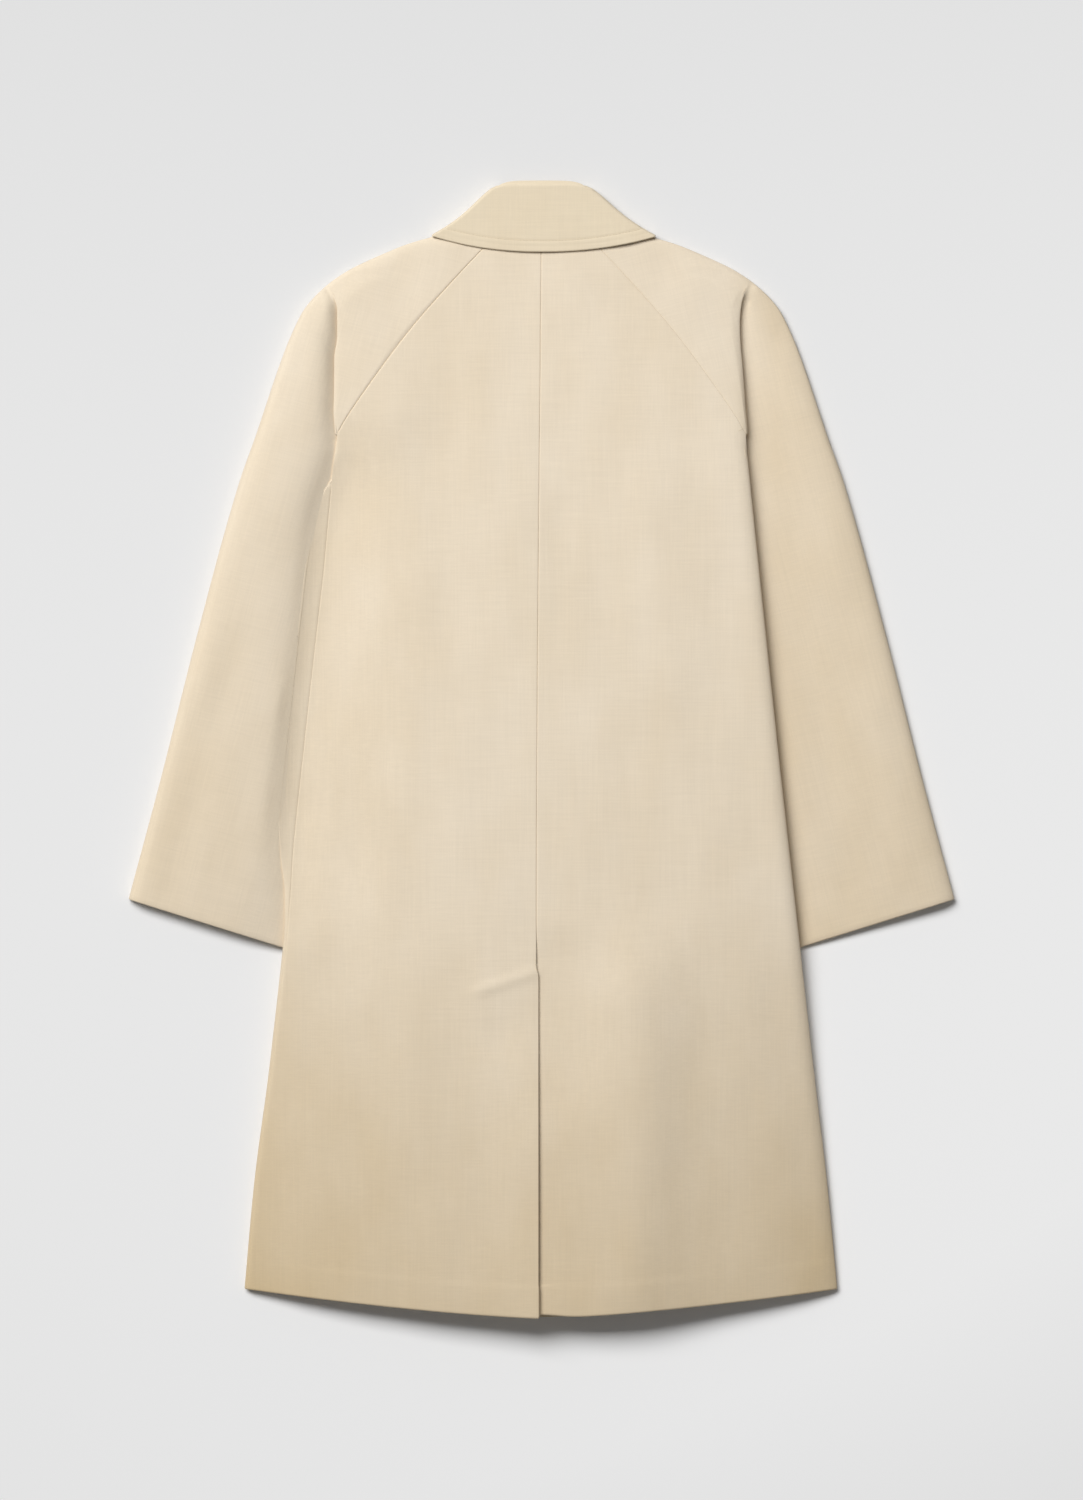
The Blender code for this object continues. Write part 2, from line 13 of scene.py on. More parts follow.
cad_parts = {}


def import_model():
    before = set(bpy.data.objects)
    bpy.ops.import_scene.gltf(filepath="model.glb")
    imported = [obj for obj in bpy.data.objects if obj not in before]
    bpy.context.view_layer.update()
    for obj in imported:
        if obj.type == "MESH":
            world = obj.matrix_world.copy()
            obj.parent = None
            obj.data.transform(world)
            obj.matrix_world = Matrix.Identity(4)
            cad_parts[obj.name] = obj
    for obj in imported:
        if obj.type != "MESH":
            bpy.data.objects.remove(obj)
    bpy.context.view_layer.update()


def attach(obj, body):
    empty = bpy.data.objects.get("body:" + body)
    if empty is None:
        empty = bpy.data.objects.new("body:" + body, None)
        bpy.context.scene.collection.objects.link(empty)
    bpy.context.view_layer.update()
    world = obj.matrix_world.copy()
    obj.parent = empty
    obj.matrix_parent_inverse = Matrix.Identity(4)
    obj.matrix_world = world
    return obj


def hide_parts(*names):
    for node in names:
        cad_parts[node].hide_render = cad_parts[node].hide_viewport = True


MM = 0.001
SIDES = ((-1, "left"), (1, "right"))
TINY = 1e-9


def chart(columns, *rows):
    """Rows of values under named columns."""
    kind = namedtuple("Row", columns)
    return tuple(kind(*row) for row in rows)


# Cloth
CLOTH = 1.5
HEM_CLOTH = 2.8
COLLAR_CLOTH = 2.4
HEM_DEPTH = 30.0
CUFF_DEPTH = 40.0
TURNING_RISE = 0.55
TURNING_STEP = 3.0
UNEVEN = (0.55, 0.45)
UNEVEN_SINE = (38.0, 2.8)
UNEVEN_COSINE = (71.0, 0.6)

# Body outline
HALF_LENGTH = 568.0
UNDERARM_HALF = 205.0
UNDERARM_Y = 300.0
HEM_HALF = 295.0
HEM_RISE = 28.0
HEM_BEND_Y = 0.0
HEM_BEND_POWER = 1.4
HEM_INSET = 2.5
HEM_Y = HALF_LENGTH - HEM_INSET
HEM_DROOP = 0.8
HEM_DROOP_DEPTH = 48.0
NECK_Y = 524.0
NECK_SIDE_X = 76.0
NECK_SIDE_RISE = 9.0
NECK_FLAT_Y = 500.0
FRONT_NECK_Y = 414.0

# Rows and columns of the pieces, and set steps near an edge: in millimetres, or as shares on the sleeves
BACK_ROWS = 380
BACK_COLUMNS = 60
BACK_HEM_STEPS = (8.0, 6.0, 4.0, 2.5, 1.2, 0.0)
LIP_COLUMNS = 3
LIP_STEPS = 7
FRONT_TOP_Y = 468.0
FRONT_ROWS = 150
FRONT_HEM_STEPS = (6.0, 4.0, 2.0, 0.0)
CURL_COLUMNS = 40
FLAT_COLUMNS = 34
SLEEVE_ROWS = 300
SLEEVE_COLUMNS = 84
SLEEVE_MIDDLE = (0.035, 0.979)
RAGLAN_STEPS = (0, 0.002, 0.005, 0.01, 0.016, 0.024)
OVERARM_STEPS = (0.984, 0.988, 0.991, 0.994, 0.9965, 0.9985, 1)
UNDER_ROWS = 140
UNDER_COLUMNS = 34
UNDER_STEPS = (0.97, 0.98, 0.985, 0.989, 0.992, 0.995, 0.998, 1)
COLLAR_COLUMNS = (50, 30, 40)
FALL_ROWS = (12, 34, 22, 5)
STAND_ROWS = 16

# Section of the body: an arch with a rolled edge on top, a quarter ellipse under each side
ARCH_ROUND = 2.3
ROLL_WIDTH = {-1: 6.0, 1: 14.0}
TROUGH_WIDTH = 26.0
TROUGH_FADE = 130.0
CURL_SHARE = 0.5
CURL_LIMIT = 0.4
WRAP_SHARE = 0.5
WRAP_HALF = 5.0
WRAP_POWER = 1.6
UNDERARM_BLEND = (278.0, 300.0)
UNDERARM_TOP = (300.0, 316.0)
FRONT_UNDERARM = (252.0, 294.0)
COVER_WIDTH = 4.0
COVER_DROP = 3.5
ARMHOLE_BLEND = (300.0, 335.0)
FOLD_ROLL = 2.0

# The back rolls under its own side below the raglan seam's end
TUCK_RADIUS = 7.5
TUCK_LENGTH = 11.0
TUCK_LEAST = 0.2
TUCK_COLUMNS = 6
TUCK_FROM = (258.0, 280.0)
TUCK_TO = (310.0, 318.0)

# Centre-back vent, front lap and what the collar leaves raise
VENT_TOP = (-226.0, -214.0)
VENT_LAP = 46.0
VENT_SPREAD = 70.0
VENT_SHORT = 3.5
VENT_SHORT_WIDTH = 24.0
SEAM_LIP = 12.0
FRONT_LAP = 30.0
LAP_RAISE = 2.4
LAP_RAMP = (34.0, 66.0)
LEAF_LIFT = 3.3
LEAF_RAMP_Y = (340.0, 374.0)
LEAF_RAMP_X = (118.0, 175.0)

# Sleeve
EDGE_TOP = 4.3
CUFF_INNER_Y = -198.0
INSEAM_START = 0.03
SLEEVE_POINTS = 14
TURN_LIMIT = 0.95
TURN_LEAST = 1.0
TURN_ROUNDS = 4
RAGLAN_END = (0.52, 0.56)
SHOWN_FROM = (0.51, 0.61)
PIVOT = 5 / 11
FOLD_POINT = 4
GATHERED = (2.0, 6.0)
SETTLED = (3.0, 8.5)
FOLD_ROOM = (10.0, 30.0)
TUBE_TUCK = 8.0
SLEEVE_FADE = 26.0
YOKE_SHARES = (0.0, 0.12, 0.25, 0.37, 0.48, 0.58, 0.67, 0.75, 0.82, 0.88, 0.93, 0.97, 0.99, 1.0)
YOKE_ROUND = 6.0
YOKE_ROLL = 1.9
NOSE_RISE = {-1: 2.5, 1: 0.0}

# Collar, as shares of the way from the centre back to the front edge
FOLD_FROM = 0.42
FOLD_TO = 0.58
FALL_BULGE = (3.6, 2.4)
FALL_WAIST = 5.0
FALL_WAIST_LOW = 1.6
FALL_ROLL_POWER = 6
FALL_EDGE_POWER = 2.2
FALL_LIFT = 1.6
FALL_LIFT_X = 86.0
FALL_LIFT_WIDTH = 18.0
FALL_LIFT_POWER = 3
STAND_BULGE = 3.0
FALL_ROLL_Z = 13.8
FALL_EDGE_RISE = 2.5
FALL_SIDE_DROP = 1.2
STAND_Z = 11.0
STAND_SIDE_DROP = 3.0
STAND_DROP_POWER = 3
STAND_ROLL_POWER = 4
ROLL_IN = 1.8
ROLL_SHARE = 0.07
FOLD_OUTWARD = (0.632, 0.775)
ROLL_OUTWARD = (0.98, 0.20)
ROLL_TURNED = 0.3
FALL_ROLL_CORNER = (43.5, 563.5)
FALL_EDGE_CORNER = {-1: (107.5, 513.5), 1: (112.0, 513.0)}
FALL_FRONT_ROLL = (5.0, 452.0)
FALL_POINT = (74.0, 376.0)
FALL_EDGE_Y = 498.6
FALL_EDGE_BOW = 6.0
STAND_ROLL_CORNER = (48.0, 553.5)
STAND_FRONT_ROLL = (14.0, 440.0)
STAND_TOP_INSET = 7.5
STAND_FRONT_Y = 417.0

# Seams: how far each edge rolls down into its groove
GROOVE_WIDTH = 1.5
SIDE_GROOVE = {-1: 0.5, 1: 1.3}
CENTRE_GROOVE = 0.8
RAGLAN_GROOVE = {-1: 1.2, 1: 0.7}
RAGLAN_SLANT = 0.78
EDGE_CURL = 1.4
EDGE_CURL_WIDTH = 2.4
EDGE_STEPS = (0.0, 0.15, 0.4, 0.75, 1.15, 1.7, 2.6, 4.0, 6.0, 8.5, 11.5)
RIM_STEPS = 4

# Cloth colours, painted shade and threads, in millimetres where a length
UPPER = (0.79, 0.68, 0.528)
# LOWER is the darker, warmer end of the painted shade; the random mottle also mixes towards it
LOWER = (0.69, 0.56, 0.381)
# Painted shade on the body's sides, darker from |x| 0.19 m to 0.30 m, growing with the painted hem shade
PAINTED_LOWER_SIDE_SHADE = (0.19, 0.30, 0.0, 0.6)
# Painted shade on the left of the back, darker from x -0.04 m to -0.22 m, where the cloth faces the
# light
PAINTED_LEFT_SHADE = (-0.04, -0.22, 0.0, 0.25)
# Painted shade on each sleeve, darker outward over the |x| span given for its side, strongest on the
# right
PAINTED_SLEEVE_SHADE = {-1: (0.22, 0.40, 0.0, 0.45), 1: (0.192, 0.235, 0.0, 0.5)}
# The collar's side shade slot paints no shade
COLLAR_NO_SIDE_SHADE = (0.0, 1.0, 0.0, 0.0)
COLLAR_UPPER = (0.76, 0.65, 0.48)
# Painted shade: the cloth runs to LOWER from y -0.15 m down to -0.6 m, for the light falling off towards
# the hem
PAINTED_HEM_SHADE_RANGE = (-0.15, -0.6, 0.0, 1.0)
SLEEVE_TURN = 0.25
WAVE_PERIOD = 0.314
THREAD_SPACING = 0.6
SLUB = 1.6
MOTTLE = 70.0
MOTTLE_SHARE = 0.9
SLUB_SHADE = 0.10
SLUB_RELIEF = 1.4
SLUB_ROUGHNESS = 0.08
WEAVE_SHADE = 0.03
WEFT_STRETCH = (0.04, 1.0, 1.0)
WARP_STRETCH = (1.0, 0.02, 1.0)
MOTTLE_STRETCH = (1.0, 0.5, 1.0)
CLOTH_ROUGHNESS = 0.80
CLOTH_SPECULAR = 0.25
CLOTH_SHEEN = 0.12
SHEEN_ROUGHNESS = 0.5
BUMP_STRENGTH = 0.35
BUMP_METRES = 0.00025

# Floor
FLOOR_TONE = 0.80
FLOOR_SLOPE = (0.08, -0.152, 0.0)
FLOOR_ROUND = 0.08
FLOOR_LIMITS = (0.65, 0.95)
FLOOR_HALF = 12.0
FLOOR_Z = -0.0005

# Stitching on the collar, as shares of the way from its roll line to its edge, and thread
STITCH_V = 0.855
INNER_V = 0.935
STITCH_SINK = 0.35
INNER_SINK = 0.12
STITCH_SINK_V = 0.016
STITCH_END = 0.97
STITCH_MARGIN = 0.04
STITCH_SLICE = 0.01
STITCH_SAMPLES = 1200
STITCH_PITCH = 3.2
STITCH_LENGTH = 2.3
STITCH_RINGS = 6
STITCH_SIDES = 6
THREAD_RADIUS = 0.3
THREAD_RISE = 0.12
THREAD_OUT = 0.05
THREAD_TAPER = 0.75
TAPER_POWER = 3
THREAD_COLOUR = (0.72, 0.62, 0.46)
THREAD_SHADE = (0.3, 0.85)
THREAD_GRAIN = 900.0
THREAD_ROUGHNESS = 0.7
THREAD_SPECULAR = 0.35

# Hand tacks: x and y of the start, then of the end
TACKS = (
    (-7.5, -209, -5, -211),
    (-7, -213, -4.6, -215),
    (-6.5, -217.5, -4.4, -219.5),
    (-4.5, -538, -2.8, -540.5),
    (196, 318.2, 201.5, 321.1),
    (202.6, 302, 204.3, 291),
)

# Camera and light
PHOTO_HEIGHT = 1.5
CAMERA_HEIGHT = 12.0
CAMERA_REACH = 100.0
SENSOR = 36.0
KEY_PLACE = (-1.81, 2.32, 4.05)
KEY_WIDTH = 4.4
KEY_DEPTH = 2.2
KEY_ENERGY = 53.5
KEY_SPREAD = np.radians(64)
KEY_TARGET = (0.05, 0.05, 0.0)
FILL = 0.15

# Section of the body: height at the centre and the side, rise of the rolled edge, width of the curl
BODY = chart(
    "y crown edge roll curl",
    (-568, 36.5, 4.6, 4, 10),
    (-450, 34, 5.5, 6, 12),
    (-260, 30.5, 9, 7, 22),
    (-150, 28, 12, 7, 26),
    (100, 24.5, 12, 6.5, 26),
    (316, 21, 12, 5.5, 26),
    (450, 15.5, 11, 2.5, 26),
    (498, 12.6, 10, 1, 26),
    (532, 11, 9.5, 0.5, 26),
)

# Each side: bulge outward, seam turned onto the top, trough beside it, lowered edge, flattened roll
SIDE_COLUMNS = "y bulge turn trough lower flat"
SIDE = {
    -1: chart(
        SIDE_COLUMNS,
        (-568, 2, 2, 0, 0, 0),
        (-450, 4, 2, 0, 0, 0),
        (-330, 1.5, 2.5, 0, 0, 0),
        (-210, 1, 3, 0, 0, 0.2),
        (-150, 5, 6, 2, 0.8, 0.7),
        (-105, 14, 13, 5, 1.3, 1),
        (-50, 20.5, 19, 8, 1.5, 1),
        (170, 19, 19, 8, 1.5, 1),
        (220, 16.5, 16, 7, 2.2, 1),
        (258, 10, 9, 5, 2.8, 0.95),
        (280, 5, 3.5, 3.5, 2.4, 0.85),
        (301, 1, 0, 2, 1.2, 0.7),
        (340, 0, 0, 0, 0.5, 0.4),
        (430, 0, 0, 0, 0, 0),
    ),
    1: chart(
        SIDE_COLUMNS,
        (-568, 1, 0, 0, 0, 0),
        (-450, 2.5, 0, 0, 0, 0),
        (-330, 1.5, 0, 0, -1.5, 0),
        (-200, 1, 0, 0, -5, 0),
        (240, 0, 0, 0, -5, 0),
        (330, 0, 0, 0, -1.5, 0),
        (440, 0, 0, 0, 0, 0),
    ),
}

# Centre-back seam, and how far the right back lies below the left
CENTRE_BACK = chart(
    "y x drop",
    (-568, -3.5, 5.8),
    (-400, -3.5, 4.8),
    (-226, -3.5, 2.8),
    (-214, -5, 2.8),
    (-170, -5, 0),
    (526, 0, 0),
)

# Seams, neck and armhole fold in plan, and how far the inseam lies in from the rolled side
RAGLAN_BACK = chart("y x", (316, 204), (330, 196), (365, 172), (420, 131), (478, 80), (526, 34))
RAGLAN_FRONT = chart("y x", (297, 203), (340, 172), (400, 122), (440, 88), (474, 54))
FRONT_NECK = chart("y x", (414, 10), (428, 30), (448, 44), (474, 53), (533, 76))
FOLD_LINE = {
    -1: chart(
        "y x",
        (300, 204), (318, 205.5), (340, 207.5), (390, 207.5),
        (415, 204.5), (440, 204.5), (462, 212),
    ),
    1: chart(
        "y x",
        (300, 204.5), (318, 205), (340, 204), (383, 201.5),
        (408, 199.5), (427, 199), (446, 200.5), (464, 206),
    ),
}
INSEAM_TUCK = chart("y depth", (-200, 5), (-150, 8), (265, 8), (300, 6))

# Overarm seam in plan, x and y from the neck to the cuff
OVERARM = (
    (76, 530.5), (108, 513.5), (125, 508.5), (140, 503.5),
    (151.5, 498.8), (173.5, 489.2), (193, 479.5), (214.7, 464.5),
    (237, 441), (250, 415.5), (260, 390.3), (286, 313.5),
    (302, 268.3), (343, 120), (381, -30), (412.5, -148),
)

# Back sleeve sections: inner counts 0 to 1 down the raglan seam and 1 to 2 down the inseam
SECTION_COLUMNS = "row inner overarm fold depth rim crest slope valley foot trim tube"
SLEEVE_BACK = {
    -1: chart(
        SECTION_COLUMNS,
        (0, 0, 0, 0, 0, 9, 9, 8.5, 8, 6, 0, 0),
        (6, 0.53, 130, 0, 0, 9, 9, 8.5, 8, 6, 0, 0),
        (6.6, 0.569, 138.4, 0, 0, 9, 9, 8.5, 8, 6, 0, 0),
        (8, 0.66, 158, 0.9, 5, 11, 13.5, 12.5, 11, 6, 0, 0),
        (10, 0.8, 187, 1, 9, 14, 18, 15.5, 11.6, 6.2, 0, 0),
        (12, 0.9, 222, 1, 12, 15.5, 20, 17, 11.8, 6.4, 0, 0),
        (14, 0.97, 268, 1, 10, 16, 21.2, 18.6, 11.5, 6.7, 0, 0),
        (15, 1, 300, 1, 10, 16, 22, 19.2, 11.4, 6.8, 0, 0),
        (15.4, 1.004, 305.6, 1, 10, 16, 22, 19.2, 11.4, 6.8, 0.37, 0.1),
        (17, 1.02, 328, 1, 3, 16, 22, 19.2, 11.5, 7, 0.37, 1),
        (19, 1.12, 377, 1, 0, 16, 21.4, 18.6, 12, 7.3, 0.37, 1),
        (20.5, 1.2667, 448.5, 1, 0, 16, 20.2, 17.4, 12.6, 7.7, 0.37, 1),
        (25, 1.7067, 663, 1, 0, 15.5, 19, 17, 12.8, 8, 0.37, 1),
        (26.6, 1.8631, 739.3, 1, 0, 15.5, 18, 15.5, 11.5, 7, 0.37, 1),
        (28, 2, 806, 1, 0, 15.5, 17, 13, 9, 5.5, 0.37, 1),
    ),
    1: chart(
        SECTION_COLUMNS,
        (0, 0, 0, 0, 0, 8, 8, 8, 8, 5.5, 0, 0),
        (6, 0.53, 130, 0, 0, 8, 8, 8, 8, 5.5, 0, 0),
        (6.6, 0.569, 138.4, 0, 0, 8, 8, 8, 8, 5.5, 0, 0),
        (7.4, 0.621, 149.6, 1, 5, 8.5, 8, 7, 7, 5.5, 0, 0),
        (8, 0.66, 158, 1, 9, 9, 8, 5, 5.5, 5, 0, 0),
        (10, 0.8, 187, 1, 14, 9, 7.5, 4.2, 4.8, 4.5, 0, 0),
        (12, 0.9, 222, 1, 15, 9.5, 7.5, 4, 4.8, 4.5, 0, 0),
        (14, 0.97, 268, 1, 11, 10.5, 7.5, 3.8, 4.8, 4.5, 0, 0),
        (15, 1, 300, 1, 10, 11.5, 7.5, 3.8, 4.8, 4.5, 0, 0),
        (15.4, 1.004, 305.6, 1, 10, 11.5, 7.5, 3.8, 4.8, 4.5, 0.37, 0.1),
        (17, 1.02, 328, 1, 3, 12, 7.5, 3.8, 4.8, 4.5, 0.37, 1),
        (19, 1.12, 377, 1, 0, 12.5, 7.5, 3.8, 4.8, 4.5, 0.37, 1),
        (28, 2, 806, 1, 0, 13, 9.5, 5, 5, 4.5, 0.37, 1),
    ),
}
SLEEVE_FRONT = chart("row inner overarm", (0, 0, 0), (5, 0.5, 140), (10, 1, 318), (20, 2, 806))

# Control points across a back sleeve where it folds under the body's side, from the raglan seam out.
# The plan distance adds shares of the way to the fold, of the pleat depth and of the way past the fold.
PLEAT = chart(
    "turn depth over shift level rise",
    (0, 0, 0, 0, "top", 0),
    (0.4, 0, 0, 0, "top", 0),
    (0.75, 0, 0, 0, "top", 0),
    (0.8, 0, 0, 0, "top", 0),
    (1, 0, 0, 2.5, "roll", 0),
    (1, -0.5, 0, 0, "roll", -3),
    (1, -1, 0, -3, "floor", 4),
    (1, 0, 0, 5, "valley", 0),
    (1, 0, 0.12, 6, "slope", 0),
    (1, 0, 0.42, 4, "crest", 0),
    (1, 0, 0.84, 0, "rim", 0),
    (1, 0, 0.96, 0, "rim", -1.8),
    (1, 0, 1, -0.3, "edge", 2.5),
    (1, 0, 1, 0, "edge", 0),
)

# Control points across a back sleeve below the underarm, from the inseam out
TUBE = chart(
    "length shift level rise",
    (0, -8, "floor", 6),
    (0, -7, "floor", 6),
    (0, -6, "floor", 5.5),
    (0, -4, "floor", 5),
    (0, -3, "floor", 4.9),
    (0, -6, "foot", -3),
    (0, 3, "foot", 0),
    (0, 12, "valley", 0),
    (0.12, 12, "slope", 0),
    (0.4, 10, "crest", 0),
    (0.86, 0, "rim", 0),
    (0.97, 0, "rim", -1.8),
    (1, -0.3, "edge", 2.5),
    (1, 0, "edge", 0),
)

# Cut of each piece: widest and longest measure along the cloth, area in square metres, what it lies on
CUTS = chart(
    "node slot width length area rests_on",
    ("back_left", "coat_cloth", 296, 1141, 0.245, ("front_left",)),
    ("back_right", "coat_cloth", 349, 1140, 0.269, ("front_right",)),
    ("front_left", "coat_cloth", 334, 1086, 0.286, ("floor",)),
    ("front_right", "coat_cloth", 330, 1086, 0.272, ("floor",)),
    ("sleeve_back_left", "coat_cloth", 181, 849, 0.0915, ("sleeve_front_left",)),
    ("sleeve_back_right", "coat_cloth", 179, 843, 0.0965, ("sleeve_front_right",)),
    ("sleeve_front_left", "coat_cloth", 168, 803, 0.0845, ("floor",)),
    ("sleeve_front_right", "coat_cloth", 168, 803, 0.092, ("floor",)),
    ("collar_fall", "collar_cloth", 541, 103, 0.0365, ("back_left", "back_right")),
    ("collar_stand", "collar_cloth", 439, 37, 0.0124, ("collar_fall",)),
)

# Soft folds of the back: a line from one plan point to another, its half width and its height
FOLD_COLUMNS = "x0 y0 x1 y1 width height"
BODY_FOLDS = chart(
    FOLD_COLUMNS,
    (-150, 400, -165, 60, 30, 1.5),
    (-92, 380, -100, 100, 24, -1.3),
    (115, 300, 125, 60, 34, 1.6),
    (24, 260, 10, 40, 16, -0.8),
    (70, 480, 85, 380, 30, -1),
    (-185, -60, -190, -230, 26, -1.8),
    (-135, -230, -120, -400, 34, 1.6),
    (100, -200, 95, -600, 42, 8),
    (12, -330, 12, -640, 52, 7),
    (-66, -243, -4, -221, 6, 1.3),
    (-52, -262, -38, -300, 20, -1.6),
)
FOLD_FADE = 34.0
FOLD_END = 1.5

# Low waves: height, radians for each millimetre across and along, and where they start
RIPPLES = chart(
    "height across along start",
    (0.3, 0.053, 0.011, 0.4),
    (0.12, 0.097, -0.019, 2.1),
    (0.06, 0.163, 0.023, 4.4),
    (0.25, 0.027, 0.031, 1.2),
    (0.1, -0.052, 0.068, 3.3),
)

# Soft folds of the sleeves, in the same columns
SLEEVE_FOLDS = chart(
    FOLD_COLUMNS,
    (-262, 380, -345, 40, 22, 1.6),
    (-300, 120, -372, -150, 16, -1.2),
    (-262, 60, -290, -140, 16, 1.2),
    (246, 400, 300, 150, 18, 1.4),
    (262, 120, 312, -160, 16, -1.4),
    (330, 60, 366, -120, 16, 1.3),
    (208, 458, 234, 418, 4, 0.9),
    (214, 448, 244, 400, 5, -0.8),
)


def held(share):
    """A share kept between 0 and 1."""
    return np.clip(share, 0.0, 1.0)


def ramp(low, high, value):
    """Smooth step from 0 at low to 1 at high."""
    share = held((value - low) / (high - low))
    return share * share * (3 - 2 * share)


def mix(start, stop, share):
    return start + (stop - start) * share


def straight(start, stop, share):
    """A plan point on the line from start to stop."""
    return mix(start[0], stop[0], share), mix(start[1], stop[1], share)


def bell(value, middle, width):
    """A smooth hump, 1 at the middle."""
    return np.exp(-(((value - middle) / width) ** 2))


def unit(vectors):
    return vectors / np.maximum(np.linalg.norm(vectors, axis=-1, keepdims=True), TINY)


def along(table, column, value):
    """A column of a table at a value of its first column, by a cubic that never overshoots."""
    keys = np.array([row[0] for row in table], float)
    data = np.array([getattr(row, column) for row in table], float)
    steps = np.diff(keys)
    secants = np.diff(data) / steps
    slopes = np.concatenate([secants[:1], np.zeros(len(keys) - 2), secants[-1:]])
    before, after = secants[:-1], secants[1:]
    turns = before * after <= 0
    total = np.where(turns, 1.0, before + after)
    slopes[1:-1] = np.where(turns, 0.0, 2 * before * after / total)
    value = np.clip(value, keys[0], keys[-1])
    k = np.clip(np.searchsorted(keys, value, side="right") - 1, 0, len(keys) - 2)
    t = (value - keys[k]) / steps[k]
    start = data[k] * (1 + 2 * t) * (1 - t) ** 2 + slopes[k] * steps[k] * t * (1 - t) ** 2
    stop = data[k + 1] * t * t * (3 - 2 * t) + slopes[k + 1] * steps[k] * t * t * (t - 1)
    return start + stop


def measured(points):
    """A plan line as a table of distance along it, x and y."""
    plan = np.array(points, float)
    lengths = np.hypot(*np.diff(plan, axis=0).T)
    distance = np.concatenate([[0.0], np.cumsum(lengths)])
    return chart("distance x y", *np.column_stack([distance, plan]))


def spline_weights(q, count):
    """Weights of the control points of a clamped cubic B-spline at q, one row per point."""
    knots = np.concatenate([[0, 0, 0], np.linspace(0, 1, count - 2), [1, 1, 1]])
    q = np.clip(q, 0.0, 1.0 - TINY)
    weights = [np.where((low <= q) & (q < high), 1.0, 0.0) for low, high in zip(knots, knots[1:])]
    for degree in (1, 2, 3):
        spans = np.maximum(knots[degree:] - knots[:-degree], TINY)
        rising = [(q - knots[i]) / spans[i] * weight for i, weight in enumerate(weights)]
        falling = [(knots[i + degree] - q) / spans[i] * weight for i, weight in enumerate(weights)]
        weights = [rise + fall for rise, fall in zip(rising, falling[1:])]
    return np.array(weights)


def side_reach(side, y):
    """X of the rolled side."""
    flare = (HEM_HALF - UNDERARM_HALF) / (UNDERARM_Y + HALF_LENGTH)
    below = UNDERARM_HALF + (UNDERARM_Y - np.minimum(y, UNDERARM_Y)) * flare
    below = below + along(SIDE[side], "bulge", y)
    return mix(below, along(FOLD_LINE[side], "x", y) + FOLD_ROLL, ramp(*ARMHOLE_BLEND, y))


def side_edge(side, y):
    """Height at which the rolled side starts."""
    return along(BODY, "edge", y) - along(SIDE[side], "lower", y)


def top_height(side, x, y):
    """Height of the coat's back at X, y."""
    edge = side_edge(side, y)
    roll = along(BODY, "roll", y) * (1 - along(SIDE[side], "flat", y))
    reach = side_reach(side, y)
    share = held(np.abs(x) / reach)
    inside = np.maximum(reach - np.abs(x), 0.0)
    into = held(inside / ROLL_WIDTH[side])
    rolled = roll * np.sqrt(1 - (1 - into) ** 2)
    arch = (along(BODY, "crown", y) - edge - roll) * (1 - share**ARCH_ROUND)
    trough = 1 - held(1 - inside / TROUGH_WIDTH) ** 2
    trough = along(SIDE[side], "trough", y) * trough * (1 - ramp(TROUGH_WIDTH, TROUGH_FADE, inside))
    droop = HEM_DROOP * held(1 - (y + HEM_Y) / HEM_DROOP_DEPTH) ** 2
    return edge + rolled + arch - trough - droop


def fold_heights(folds, x, y):
    """Sum of soft folds and of the low waves of laid cloth at world x, y."""
    total = np.zeros(np.broadcast(x, y).shape)
    for fold in folds:
        dx, dy = fold.x1 - fold.x0, fold.y1 - fold.y0
        length = np.hypot(dx, dy)
        far = ((x - fold.x0) * dx + (y - fold.y0) * dy) / length
        off = ((x - fold.x0) * dy - (y - fold.y0) * dx) / length
        fade = FOLD_END * fold.width
        ends = ramp(-fade, fade, far) * (1 - ramp(length - fade, length + fade, far))
        total = total + fold.height * ends * bell(off, 0, fold.width)
    waves = [low.height * np.sin(low.across * x + low.along * y + low.start) for low in RIPPLES]
    return total + sum(waves)


def top_surface(side, x, y):
    """Height of the coat's back with its folds, which fade out at the rolled side."""
    fade = ramp(0, FOLD_FADE, side_reach(side, y) - np.abs(x))
    return top_height(side, x, y) + fade * fold_heights(BODY_FOLDS, side * x, y)


def hem_bend(x, y):
    """Rise of a row towards the sides, so that the last row is the curved hem."""
    share = held((HEM_BEND_Y - y) / (HEM_BEND_Y + HALF_LENGTH))
    return HEM_RISE * share * (np.abs(x) / HEM_HALF) ** HEM_BEND_POWER


def neck_bend(x, y):
    """Rise of the upper rows of the back towards the sides of the neck."""
    return NECK_SIDE_RISE * (x / NECK_SIDE_X) ** 2 * ramp(NECK_FLAT_Y, NECK_Y, y)


def leaf_lift(x, y):
    """How far the collar leaves under the coat raise its front."""
    near = 1 - ramp(*LEAF_RAMP_X, np.abs(x))
    return LEAF_LIFT * ramp(*LEAF_RAMP_Y, y) * near


def rounded(distance, width, depth):
    """Drop of a cloth edge that rounds over, at a distance from the edge."""
    share = held(1 - distance / width)
    return depth * (1 - np.sqrt(1 - share**2))


def between(start, stop, count, at_start=(0.0,), at_stop=(0.0,)):
    """Rows of positions from start to stop: set steps near each end and even steps in the middle."""
    first = start[:, None] + np.array(at_start)
    last = stop[:, None] - np.array(at_stop[::-1])
    share = np.linspace(0, 1, count + 2)[None, 1:-1]
    middle = mix(first[:, -1:], last[:, :1], share)
    return np.concatenate([first, middle, last], axis=1)


def grid_normals(points, sign):
    """Unit normals of a grid of points, rows first."""
    across = np.gradient(points, axis=1)
    down = np.gradient(points, axis=0)
    return sign * unit(np.cross(across, down))


